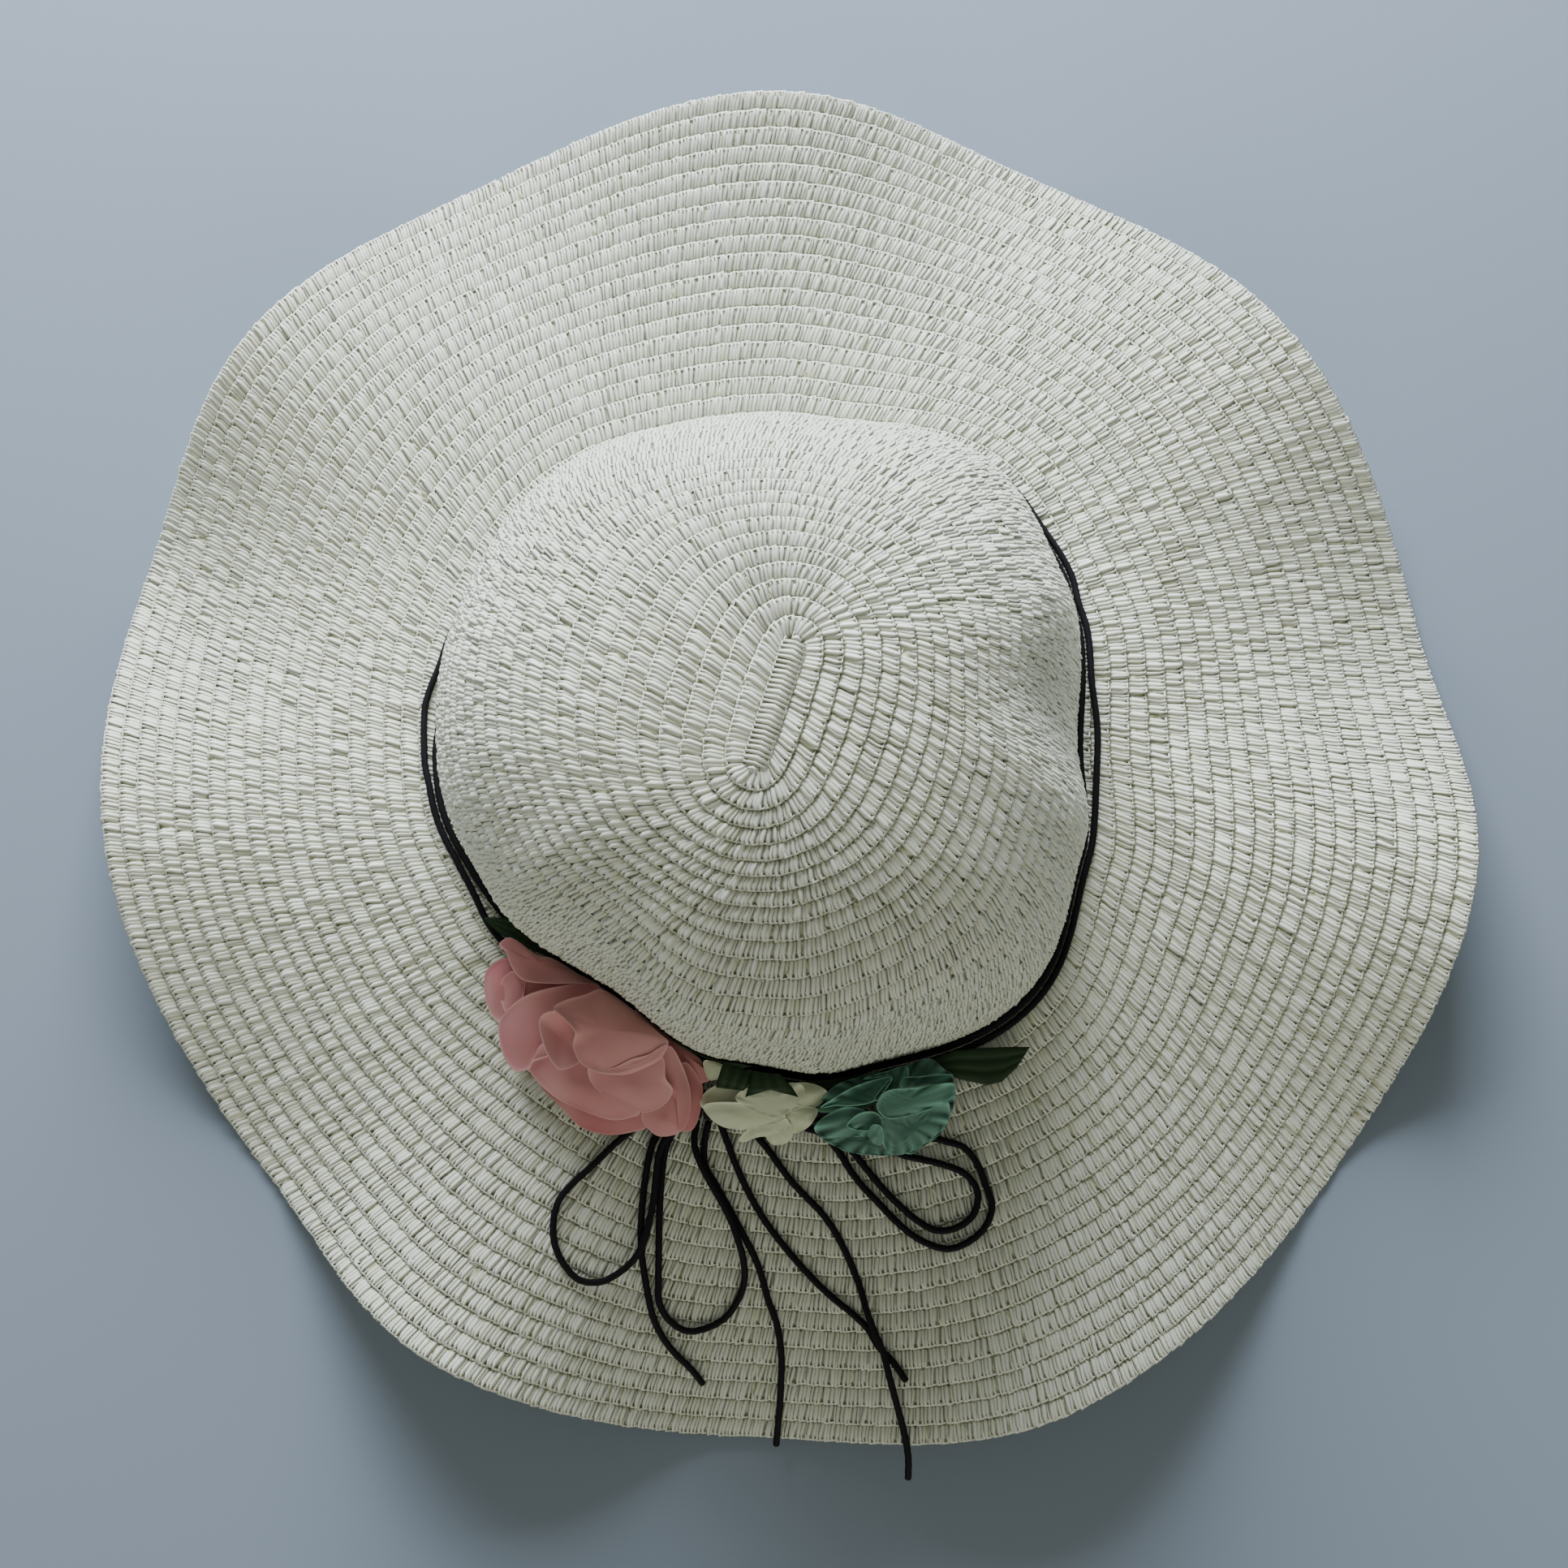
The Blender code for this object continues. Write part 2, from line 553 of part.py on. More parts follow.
def make_leaf(row, axis):
    """A pointed strip along the crown's wall."""
    name, root, tip, root_out, tip_out, width_share, lift, rise = row
    along, across = np.meshgrid(
        np.linspace(0, 1, LEAF_GRID[0] + 1), np.linspace(-1, 1, LEAF_GRID[1] + 1), indexing="ij"
    )
    half = 0.5 * LEAF_WIDTH * width_share * (0.25 + 0.75 * np.sin(np.pi * (0.12 + 0.83 * along)))
    angle = root + (tip - root) * along
    out = LEAF_WIDTH * (root_out + (tip_out - root_out) * along) + half * across
    level = CORD + 3 * GAP + LEAF / 2 + lift - rise * LEAF_WIDTH * across / 2
    foot = polar(head_radius(angle) + out, angle, 0)
    ground_height = brim_under(foot[..., 0], foot[..., 1])
    reach = wall_radius(angle, ground_height + level) + out
    grid = polar(reach, angle, 0)
    grid = draped(grid[..., 0], grid[..., 1], level)
    if tip > root:
        grid = grid[:, ::-1]
    thicken(place(name, sheet_mesh(name, grid), (0.02, 0.05, 0.025), 0.4, axis), LEAF, 0)


def centre_on_brim(axis, brim):
    """Moves the crown's axis so that the middle of the brim is at the origin of the plan, and the
    brim's lowest point at height 0."""
    bpy.context.view_layer.update()
    shape = brim.evaluated_get(bpy.context.evaluated_depsgraph_get()).data
    corners = np.empty(len(shape.vertices) * 3)
    shape.vertices.foreach_get("co", corners)
    corners = corners.reshape(-1, 3)
    low, high = corners.min(0), corners.max(0)
    axis.location = (-(low[0] + high[0]) / 2, -(low[1] + high[1]) / 2, -low[2])


def make_hat():
    clear_scene()
    axis = bpy.data.objects.new("crown_axis", None)
    bpy.context.scene.collection.objects.link(axis)
    make_crown(axis)
    brim = make_brim(axis)
    tree = tree_of(brim)
    make_band(tree, axis)
    make_knot(axis)
    make_bow(tree, axis)
    make_flowers(axis)
    for row in LEAVES:
        make_leaf(row, axis)
    centre_on_brim(axis, brim)


make_hat()
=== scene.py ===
"""Looks of the straw hat: sewn braid, twisted cords, cloth flowers and satin leaves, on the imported
model as its frame. Metres. Hat coordinates stand on the crown's axis, and AXIS moves them to the
row frame. Angles in tables are degrees, anticlockwise from +X, seen from above."""

import bpy
import numpy as np
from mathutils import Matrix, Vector
from mathutils.bvhtree import BVHTree


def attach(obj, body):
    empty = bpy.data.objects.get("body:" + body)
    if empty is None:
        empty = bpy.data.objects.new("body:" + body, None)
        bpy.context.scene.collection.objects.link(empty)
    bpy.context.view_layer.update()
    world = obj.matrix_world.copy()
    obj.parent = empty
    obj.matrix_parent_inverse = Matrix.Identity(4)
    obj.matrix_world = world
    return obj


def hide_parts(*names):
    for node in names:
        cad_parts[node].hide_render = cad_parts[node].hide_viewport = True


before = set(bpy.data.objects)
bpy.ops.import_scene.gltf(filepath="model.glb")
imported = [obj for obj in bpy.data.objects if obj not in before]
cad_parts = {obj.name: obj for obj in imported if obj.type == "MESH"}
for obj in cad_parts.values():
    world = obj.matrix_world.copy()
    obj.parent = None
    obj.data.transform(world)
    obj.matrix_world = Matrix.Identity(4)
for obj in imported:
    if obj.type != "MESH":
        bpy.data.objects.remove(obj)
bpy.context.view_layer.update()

# Camera and room
PHOTO_PIXELS = 1932
FOCAL_PIXELS = 2600
SENSOR_WIDTH = 36
CAMERA_TILT = np.radians(7.5)  # from straight down
CAMERA_PLACE = (-0.0002, -0.0931, 0.6492)
FLOOR_HALF = 3.0  # half the floor's side
FLOOR_COLOUR = (0.27, 0.32, 0.40)
FLOOR_ROUGHNESS = 0.8
ROOM_COLOUR = (0.95, 1.0, 0.9)
ROOM_STRENGTH = 0.20
# Square lights that face the floor's middle: name, place, side, watts, colour
LIGHTS = (
    ("window", (-0.18, 1.15, 0.46), 0.85, 53, (0.87, 0.94, 1.0)),
    ("fill", (0.1, -1.85, 0.6), 1.6, 12, (1.0, 1.0, 0.82)),
)

# Sizes of the solids, as in the part's source
AXIS = np.array([-0.0071, -0.002944, -0.000092])  # the crown's axis in the row frame
STRAW = 0.0016  # thickness of the wall of braid
GAP = 0.0003  # between pieces that touch
HEAD_RADIUS = 0.0965  # mean outside radius of the crown at the head line
HEAD_LINE = 0.0365  # height of the crown's foot
CROWN_HEIGHT = 0.103  # over the head line
CROWN_ROUNDNESS = 2.4  # power of the crown's section, where 2 is an ellipse
BRIM_RADIUS = 0.205
WAVE_HEIGHT = 0.031  # from the lowest trough of the edge to its highest crest
BRIM_FALL = 0.021  # mean drop of the brim from the head line to the edge
WAVE_GROWTH = 1.7  # how late the waves rise on the way out
CORD = 0.0021  # diameter of the cord
LAYER = 1.25 * CORD  # height of a cord above another that it crosses
CORD_DROOP = 0.35  # fall of a free end past the brim's edge, per length
KNOT_LENGTH = 0.018  # of the bow's knot, along the crown's wall
KNOT_WIDTH = 0.009
KNOT_HEIGHT = 0.0060
KNOT_ANGLE = 261.7  # where the knot lies, about the crown's axis
KNOT_OUT = 0.0141  # from the crown's wall to the middle of the knot

# Braid
ROW = 0.0055  # width of a sewn row that shows
BUNDLE = 0.0035  # distance between two bundles of straws along a row
BUNDLE_STRAWS = 3
BUNDLE_GAP = 0.00108  # distance between the straws of a bundle
ROW_SHIFT = 0.0013  # how far the bundles of a row stand further on than those of the last
START_WIDTH = 0.0055  # width of the strip that the braid starts with at the crown's top
START_HALF = 0.0145  # half its length, without its round ends
START_PLACE = np.array([0.0047, -0.0028])
START_WAY = np.array([0.3156, 0.9489])  # the way that the strip runs
START_BEND = 2.5  # how sharply the rings bend round the strip's ends
START_FADE = 0.080  # distance from the strip where the rows have taken the crown's outline
START_RING = -0.5  # number of the ring under the strip, half a row before the first row
START_FILL = 0.93  # share of its round ends that the strip's straws reach
START_SHORTEST = 0.05  # square of the shortest of these straws, as a share
START_SHADE = 0.85
SECTION_POINTS = 4000  # along the crown's section, for its length
SHEET_COLUMNS = 1440
SHEET_STEPS = 8  # rings of a sheet in each row
BRIM_ROWS = 20
BRIM_PIECES = (("inner", 0, 9), ("middle", 9, 15), ("outer", 15, BRIM_ROWS))  # name, first row, end
CROWN_BASE_COLUMNS = 240
BRIM_BASE_COLUMNS = 300

# How unevenly straws lie: the spread of each measure
BUNDLE_SPREAD = 0.00014  # of a bundle's place along its row
WIDTH_SPREAD = 0.12  # of a straw's width, as a share
LEAN_SPREAD = 0.18  # of a straw's run along the row, as a share
PLACE_SPREAD = 0.00007  # of a straw's place along the row
ACROSS_SPREAD = 0.02  # of a straw's place across the row, as a share of the row
LIFT_SPREAD = 0.00011  # of a straw's height
ROLL_SPREAD = 0.00009  # of the height of a straw's sides
SHADE_SPREAD = 0.16  # of a straw's shade
START_LEAN_SPREAD = 0.15  # of the run of the strip's straws, as a share
START_LIFT_SPREAD = 0.00005  # of their height
MAP_SPREAD = 50  # side of the part of the fibre map where straws are put by chance
SHADE_DEPTH = 0.0010  # depth under the face where a straw gets its full painted shade
SHADE_POWER = 0.8  # how late that painted shade sets in

# Finished cords
LAYING_STEP = 3 * CORD  # distance between the points where a cord is laid
TOUCH_RINGS = (0.5, 0.85)  # shares of a cord's radius where the brim may touch it
TOUCH_POINTS = 8
EVENING = 3  # passes that even out a laid cord's heights
CORD_SIDES = 10
CORD_STRANDS = 3
CORD_PITCH = 0.009  # length of a strand's full turn
CORD_SWELL = 0.05  # height of a strand, as a share of the cord's radius
CORD_POINTS = 0.001  # distance between a cord's points
# Rings that close a cord's end: share of its section, distance past its end in diameters
CORD_END = ((0.92, 0.08), (0.6, 0.2), (0.02, 0.28))
BAND_STOPS = 240  # places round the crown where the band is laid
BAND_POINTS = 660
KNOT_TURNS = 5
KNOT_POINTS = 160
KNOT_TAPER = 0.55  # how much thinner the knot is at its ends, in squares of its thickness
CURVE_PARTS = 12  # points between two points of a cord's route

# Cloth
PETAL_PARTS = 7  # points between two points of a petal's edge
PETAL_RINGS = np.array([0.02, 0.2, 0.38, 0.54, 0.68, 0.79, 0.88, 0.94, 0.98, 1.0])
PETAL_RIM = 0.2  # width of the rim that turns up, as a share of the way out
PETAL_STEP = 0.00035  # how much higher each petal stands than the one before it
PETAL_CLEARANCE = 0.0013  # from the crown's wall
PETAL_THICKNESS = 0.00025
PLEAT_REACH = 0.016  # distance from the flower's middle where the pleats have their height
PLEAT_MOST = 1.2  # share of that height that they keep growing to further out
SHADE_LOW = 0.005  # height over the brim below which cloth has its full painted shade
SHADE_RANGE = 0.016  # and how much higher it is painted palest
# Shade value of a petal, from 0, deep, to 1, pale, as painted light and shade: to start with, then
# the painted light that its height, its way out, its rim and its pleats add at most, and what it loses
# as painted shade at the flower's middle
PETAL_SHADE = 0.12
HEIGHT_SHADE = 0.42
OUTWARD_SHADE = 0.12
RIM_HIGHLIGHT = 0.5
PLEAT_SHADE = 0.13
MIDDLE_SHADE = 0.12
LEAF_SHADE = 0.5
RIB_SHADE = 0.25  # painted highlight that a leaf's rib crests add, and painted shade in its grooves
LEAF_PARTS = 6  # stations between two stations of a leaf
LEAF_COLUMNS = 17
LEAF_RIBS = 3
LEAF_RIB = 0.018  # height of a rib, as a share of the leaf's width
LEAF_WAVE = 0.0003  # rise and fall along a leaf
LEAF_CLEARANCE = 0.0009
LEAF_THICKNESS = 0.0003
CLOTH_MAP = 40  # units of a cloth's map in a metre
FLOWER_MIDDLE = 0.010  # height over the brim of the point that a flower's pleats run out from
ODD_WAVE = 1.7  # radians between the waves of one petal, or one station of a leaf, and the next

# Finishes: colours, and how much finer the fibres are than the piece's map, along and across
# Straw colours: painted shade where a straw dives under the next row, a middle tone, the pale top and
# a stain
STRAW_SHADED = (0.42, 0.43, 0.20)
STRAW_MIDDLE = (0.77, 0.78, 0.62)
STRAW_MIDDLE_SHADE = 0.55
STRAW_PALE = (0.87, 0.88, 0.79)
STRAW_STAIN = (0.74, 0.74, 0.60)
STAIN_SHARE = 0.35
STRAW_FIBRES = (2.0, 7.0, 1.0)
UNDERSIDE_DEEP = (0.48, 0.49, 0.28)
UNDERSIDE_PALE = (0.76, 0.76, 0.58)
UNDERSIDE_SLANT = np.radians(28)
UNDERSIDE_FINENESS = 0.318  # of its bands, which gives nearly two for each bundle
CORD_DEEP = (0.003, 0.0025, 0.004)
CORD_PALE = (0.012, 0.010, 0.015)
CORD_FIBRES = (60.0, 4.0, 1.0)
CLOTH_FIBRES = (140.0, 140.0, 1.0)

# Outline of the crown at the head line: angle, share of HEAD_RADIUS
CROWN_OUTLINE = (
    (0, 0.955), (25, 1.03), (50, 1.10), (80, 0.975), (100, 0.965), (130, 1.01), (158, 0.97),
    (185, 0.945), (210, 0.90), (238, 0.83), (265, 0.93), (285, 0.99), (318, 1.08), (342, 1.005),
)
TOP_ROUNDING = 0.5  # share of the outline's unevenness that is gone at the top
# Dents in the crown's wall: angle, half width in degrees, height share, half height share, depth as
# a share of HEAD_RADIUS. The last one stands out and fills the front's shoulder
CROWN_DENTS = (
    (5, 22, 0.50, 0.52, 0.075), (236, 24, 0.60, 0.45, 0.03), (265, 72, 0.72, 0.27, -0.09),
)
# Edge of the brim, trough and crest in turn: angle, height share of WAVE_HEIGHT, share of
# BRIM_RADIUS
BRIM_EDGE = (
    (12, 0.03, 1.020), (39, 1.00, 1.005), (65, 0.00, 1.024), (88, 0.98, 1.007),
    (117, 0.05, 1.016), (140, 1.00, 0.985), (163, 0.00, 0.985), (184, 0.90, 0.953),
    (219, 0.02, 0.943), (243, 1.00, 0.967), (268, 0.05, 0.976), (296, 0.90, 1.020),
    (324, 0.00, 1.034), (350, 1.00, 1.038),
)
# How far the band's two strands stand off the crown: angle, inner and outer one in diameters
BAND_SLACK = (
    (2, 0.1, 1.5), (15, 0.0, 0.1), (24, 0.4, 0.4), (30, 1.3, 1.3), (42, 0.0, 0.0),
    (150, 0.0, 0.0), (163, 0.3, 0.5), (173, 0.6, 1.8), (181, 1.25, 1.7), (191, 1.15, 0.5),
    (203, 0.85, 1.0), (216, 0.1, 1.6), (246, 0.0, 1.6), (260, 0.0, 0.2), (300, 0.0, 0.0),
    (345, 0.0, 0.0),
)

# Cords of the bow: name, angle and layer at the knot, points in metres from the middle of the knot
# with their layer, angle and layer of the other end at the knot or None, far end
BOW = (
    ("loop_left_outer", (175, 0), (
        (-0.018, -0.0045, 0), (-0.0255, -0.010, 0), (-0.034, -0.018, 0), (-0.0425, -0.0265, 0),
        (-0.0445, -0.036, 0), (-0.042, -0.0445, 0), (-0.035, -0.051, 0), (-0.0265, -0.0485, 0.5),
        (-0.0205, -0.043, 1), (-0.0175, -0.0355, 1), (-0.0155, -0.0255, 1), (-0.014, -0.0135, 1),
        (-0.0105, -0.007, 1),
    ), (223, 1), "object"),
    ("loop_left_inner", (230, 0), (
        (-0.0105, -0.0085, 0), (-0.0125, -0.0135, 0), (-0.014, -0.0275, 0), (-0.0145, -0.046, 0),
        (-0.0145, -0.056, 0), (-0.013, -0.061, 0), (-0.007, -0.0655, 0), (-0.003, -0.0655, 0),
        (0.0035, -0.063, 0), (0.0085, -0.0565, 0), (0.0105, -0.049, 0.3), (0.009, -0.0405, 1),
        (0.006, -0.032, 1), (0.0005, -0.022, 1), (-0.0025, -0.016, 1), (-0.004, -0.011, 0.6),
    ), (250, 0), "object"),
    ("loop_right_outer", (335, 0), (
        (0.021, -0.005, 0), (0.029, -0.007, 0), (0.035, -0.010, 0), (0.0425, -0.021, 0),
        (0.050, -0.029, 0), (0.0565, -0.0355, 0), (0.064, -0.040, 0), (0.0695, -0.041, 0),
        (0.0765, -0.038, 0), (0.081, -0.0325, 0), (0.0815, -0.027, 0), (0.0795, -0.022, 0),
        (0.077, -0.016, 0), (0.0725, -0.0115, 0), (0.0645, -0.0095, 0), (0.053, -0.0055, 0),
        (0.042, -0.001, 0.3), (0.032, 0.003, 1), (0.022, 0.0055, 1), (0.012, 0.004, 1),
    ), (32, 1), "object"),
    ("loop_right_inner", (0, 0), (
        (0.023, -0.002, 0), (0.034, -0.006, 0), (0.0425, -0.0145, 0), (0.049, -0.0225, 0),
        (0.0565, -0.030, 0), (0.0625, -0.0345, 0), (0.0675, -0.036, 0), (0.0735, -0.034, 0),
        (0.077, -0.030, 0), (0.0775, -0.025, 0), (0.075, -0.0205, 0), (0.0675, -0.017, 0),
        (0.055, -0.014, 0), (0.046, -0.009, 0), (0.035, -0.003, 0), (0.025, 0.0005, 0.5),
        (0.017, 0.0015, 1),
    ), (3, 1), "object"),
    ("tail_a", (205, 0), (
        (-0.0145, -0.008, 0), (-0.017, -0.0145, 0), (-0.019, -0.0275, 0), (-0.0195, -0.041, 0),
        (-0.018, -0.0525, 0), (-0.016, -0.062, 0), (-0.0115, -0.0705, 0), (-0.003, -0.0795, 0),
        (-0.002, -0.0815, 0),
    ), None, "bare"),
    ("tail_b", (270, 0), (
        (-0.001, -0.0105, 0), (-0.0015, -0.016, 0), (0.0035, -0.0255, 0), (0.010, -0.0375, 0),
        (0.0145, -0.047, 0), (0.017, -0.056, 0), (0.0195, -0.063, 0), (0.021, -0.0715, 0),
        (0.021, -0.0795, 0), (0.0205, -0.0895, 0), (0.0195, -0.100, 0),
    ), None, "bare"),
    ("tail_c", (290, 0), (
        (0.005, -0.0095, 0), (0.0095, -0.021, 0), (0.016, -0.033, 0), (0.0245, -0.044, 0),
        (0.0335, -0.0535, 0), (0.042, -0.0605, 0), (0.047, -0.0655, 0), (0.0495, -0.070, 0),
        (0.0535, -0.074, 0), (0.057, -0.079, 0),
    ), None, "bare"),
    ("tail_d", (310, 0), (
        (0.014, -0.009, 0), (0.024, -0.022, 0), (0.0335, -0.032, 0), (0.039, -0.041, 0),
        (0.0435, -0.0515, 0), (0.0465, -0.0615, 1), (0.0505, -0.071, 1), (0.0525, -0.079, 1),
        (0.055, -0.088, 0.5), (0.057, -0.096, 0), (0.058, -0.1025, 0), (0.058, -0.108, 0),
    ), None, "bare"),
)

# One straw across its row: share of the row's width from its inner edge, run along the row, lift
# over the solid's face and width of the straw, in metres. It comes out from under the row inside,
# leans, and turns back along the outer edge, where it lies over the next straw's end
STRAW_PATH = np.array((
    (-0.04, 0.00000, -0.00100, 0.00120),
    (0.20, 0.00002, -0.00022, 0.00166),
    (0.72, -0.00070, 0.00010, 0.00158),
    (1.02, -0.00075, 0.00028, 0.00098),
    (1.00, 0.00095, -0.00035, 0.00080),
))
# Section of a straw: share of its half width, drop
STRAW_SECTION = np.array(((-1, 0.00018), (0, 0.0), (1, 0.00018)))
# The same for a straw of the strip at the crown's top: share of its half width, and so on
START_PATH = np.array((
    (-1.10, 0.0012, -0.0003, 0.0008),
    (-1.15, -0.0004, 0.0003, 0.0010),
    (0.00, 0.0000, 0.00025, 0.00128),
    (1.15, -0.0004, 0.0003, 0.0010),
    (1.10, 0.0012, -0.0003, 0.0008),
))
# Upper side of the wall under the straws: share of the row, lift over the solid's face
BASE_PROFILE = ((0.02, -0.00118), (0.28, -0.00042), (0.68, -0.00030))
BASE_EDGE = -0.0009  # its lift at the first and the last ring
BASE_STEP = 0.00045  # height of the step in its lower side
BASE_TURN = 0.02  # width of half that step, as a share of the row

# A part of the photograph looked at enlarged: its left and upper edge and its enlargement
PINK_PART = (580, 1130, 5.058)
TRIM_PART = (850, 1230, 3.5636)

# Petals, each after the ones that it lies on: bulge, turn-up of the rim and ripple in millimetres,
# then points round its edge, as x and y read in the enlarged part and height over the brim
# in millimetres
PINK_PETALS = (
    (1.5, 1.0, 0.4, (
        (430, 1040, 6), (560, 1180, 5.5), (690, 1310, 5), (850, 1355, 5), (1000, 1340, 5),
        (1110, 1290, 6), (1050, 1100, 10), (700, 1000, 10), (500, 950, 9),
    )),
    (2.0, 1.0, 0.4, (
        (1340, 900, 9), (1440, 1040, 7), (1435, 1180, 6), (1400, 1300, 5.5), (1340, 1335, 6),
        (1250, 1250, 8), (1250, 1000, 10),
    )),
    (1.5, 0.5, 0.4, (
        (1050, 520, 8), (1150, 560, 6), (1250, 650, 5), (1330, 740, 5), (1430, 860, 5),
        (1450, 960, 5), (1520, 1000, 5), (1400, 1040, 7), (1300, 1000, 9), (1150, 800, 11),
        (1080, 620, 10),
    )),
    (2.0, 1.5, 0.3, (
        (85, 420, 5), (110, 320, 6), (220, 255, 8), (330, 330, 10), (330, 500, 11),
        (240, 640, 9), (165, 645, 6), (110, 560, 5),
    )),
    (1.0, 0.5, 0.2, (
        (185, 430, 8.5), (250, 340, 10), (420, 330, 11), (650, 400, 9), (640, 470, 9),
        (420, 520, 10), (300, 600, 10), (215, 590, 8.5),
    )),
    (2.5, 1.5, 0.2, (
        (180, 660, 7), (250, 560, 10), (370, 480, 12.5), (560, 430, 12), (820, 400, 10),
        (800, 520, 13), (600, 650, 16), (520, 840, 14), (395, 900, 11), (365, 945, 9),
        (280, 960, 7), (210, 870, 6.5), (180, 760, 6.5),
    )),
    (1.5, 0.5, 0.2, (
        (178, 170, 9), (240, 125, 9), (310, 155, 9), (420, 235, 8), (560, 240, 6.5),
        (690, 340, 6), (820, 400, 6.5), (650, 412, 12), (480, 412, 13), (330, 392, 13),
        (255, 310, 12), (220, 220, 11),
    )),
    (2.0, 1.0, 0.3, (
        (1065, 1250, 8), (1100, 1150, 10), (1250, 1050, 11), (1320, 1150, 9.5), (1325, 1280, 7),
        (1295, 1345, 6), (1180, 1365, 5.5), (1110, 1320, 6.5),
    )),
    (3.0, 2.0, 0.2, (
        (372, 965, 7.5), (395, 870, 10), (450, 790, 13), (600, 780, 15), (800, 900, 14),
        (980, 1050, 12), (1060, 1205, 9.5), (990, 1250, 8), (870, 1262, 7.5), (700, 1205, 7),
        (520, 1115, 7),
    )),
    (2.0, 1.0, 0.2, (
        (1150, 900, 14), (1240, 790, 13), (1310, 900, 11), (1360, 1040, 9.5), (1372, 1150, 8.5),
        (1350, 1280, 7), (1302, 1335, 7), (1300, 1180, 10), (1250, 1090, 12), (1190, 1010, 13.5),
    )),
    (2.5, 2.0, 0.2, (
        (738, 1000, 12), (760, 900, 15), (1000, 850, 16), (1190, 860, 15), (1215, 1000, 14),
        (1262, 1080, 12.5), (1200, 1175, 11), (1080, 1218, 10.5), (950, 1165, 10.5),
        (820, 1100, 11),
    )),
    (-4.0, 0.0, 0.1, (
        (430, 640, 22), (500, 585, 22), (600, 600, 20), (690, 740, 19), (700, 880, 17),
        (570, 952, 19), (500, 890, 20.5), (450, 780, 22),
    )),
    (4.5, 2.5, 0.15, (
        (520, 565, 19.5), (600, 515, 18), (720, 480, 15), (830, 430, 12.5), (940, 465, 10),
        (1060, 535, 10.5), (1180, 685, 13), (1242, 755, 14), (1180, 870, 15), (1050, 935, 15.5),
        (920, 975, 15.5), (780, 962, 16), (680, 900, 17), (640, 800, 18), (652, 715, 20),
        (590, 640, 20.5),
    )),
    (0.8, 0.0, 0.1, (
        (790, 965, 15.8), (900, 935, 17), (1000, 885, 17.4), (1120, 852, 17), (1225, 785, 15.5),
        (1185, 880, 14.8), (1080, 940, 14.8), (950, 982, 14.8),
    )),
)
WHITE_PETALS = (
    (1.0, 0.5, 0.3, (
        (60, 270, 8), (100, 235, 7), (145, 270, 7), (140, 340, 8), (90, 360, 8), (70, 330, 8),
    )),
    (1.5, 0.8, 0.3, (
        (45, 445, 6), (110, 385, 7.5), (250, 370, 9), (330, 450, 9.5), (220, 500, 8), (80, 495, 6),
    )),
    (1.5, 0.8, 0.5, (
        (440, 380, 8.5), (520, 365, 6), (600, 405, 5.5), (588, 450, 5.5), (540, 482, 6),
        (450, 500, 8.5), (400, 450, 9.5),
    )),
    (1.5, 0.8, 0.5, (
        (420, 470, 9), (540, 478, 6.5), (562, 500, 6), (525, 560, 5.5), (460, 592, 5.5),
        (400, 540, 8),
    )),
    (1.2, 0.8, 0.5, (
        (340, 560, 8), (430, 540, 8), (452, 595, 6), (425, 635, 5), (365, 642, 5), (330, 600, 6),
    )),
    (1.2, 0.8, 0.4, (
        (215, 622, 5.5), (250, 580, 7.5), (340, 530, 9), (430, 530, 9), (400, 590, 7.5),
        (290, 612, 6), (245, 630, 5.5),
    )),
    (2.0, 1.0, 0.3, (
        (60, 470, 6), (150, 455, 8.5), (350, 470, 10.5), (420, 525, 10), (330, 562, 8.5),
        (240, 578, 7), (150, 565, 6), (90, 525, 5.5),
    )),
    (1.5, 0.5, 0.4, (
        (200, 440, 9), (260, 390, 10), (370, 375, 10), (480, 370, 8.5), (500, 430, 9),
        (400, 520, 11), (300, 505, 10.5),
    )),
)
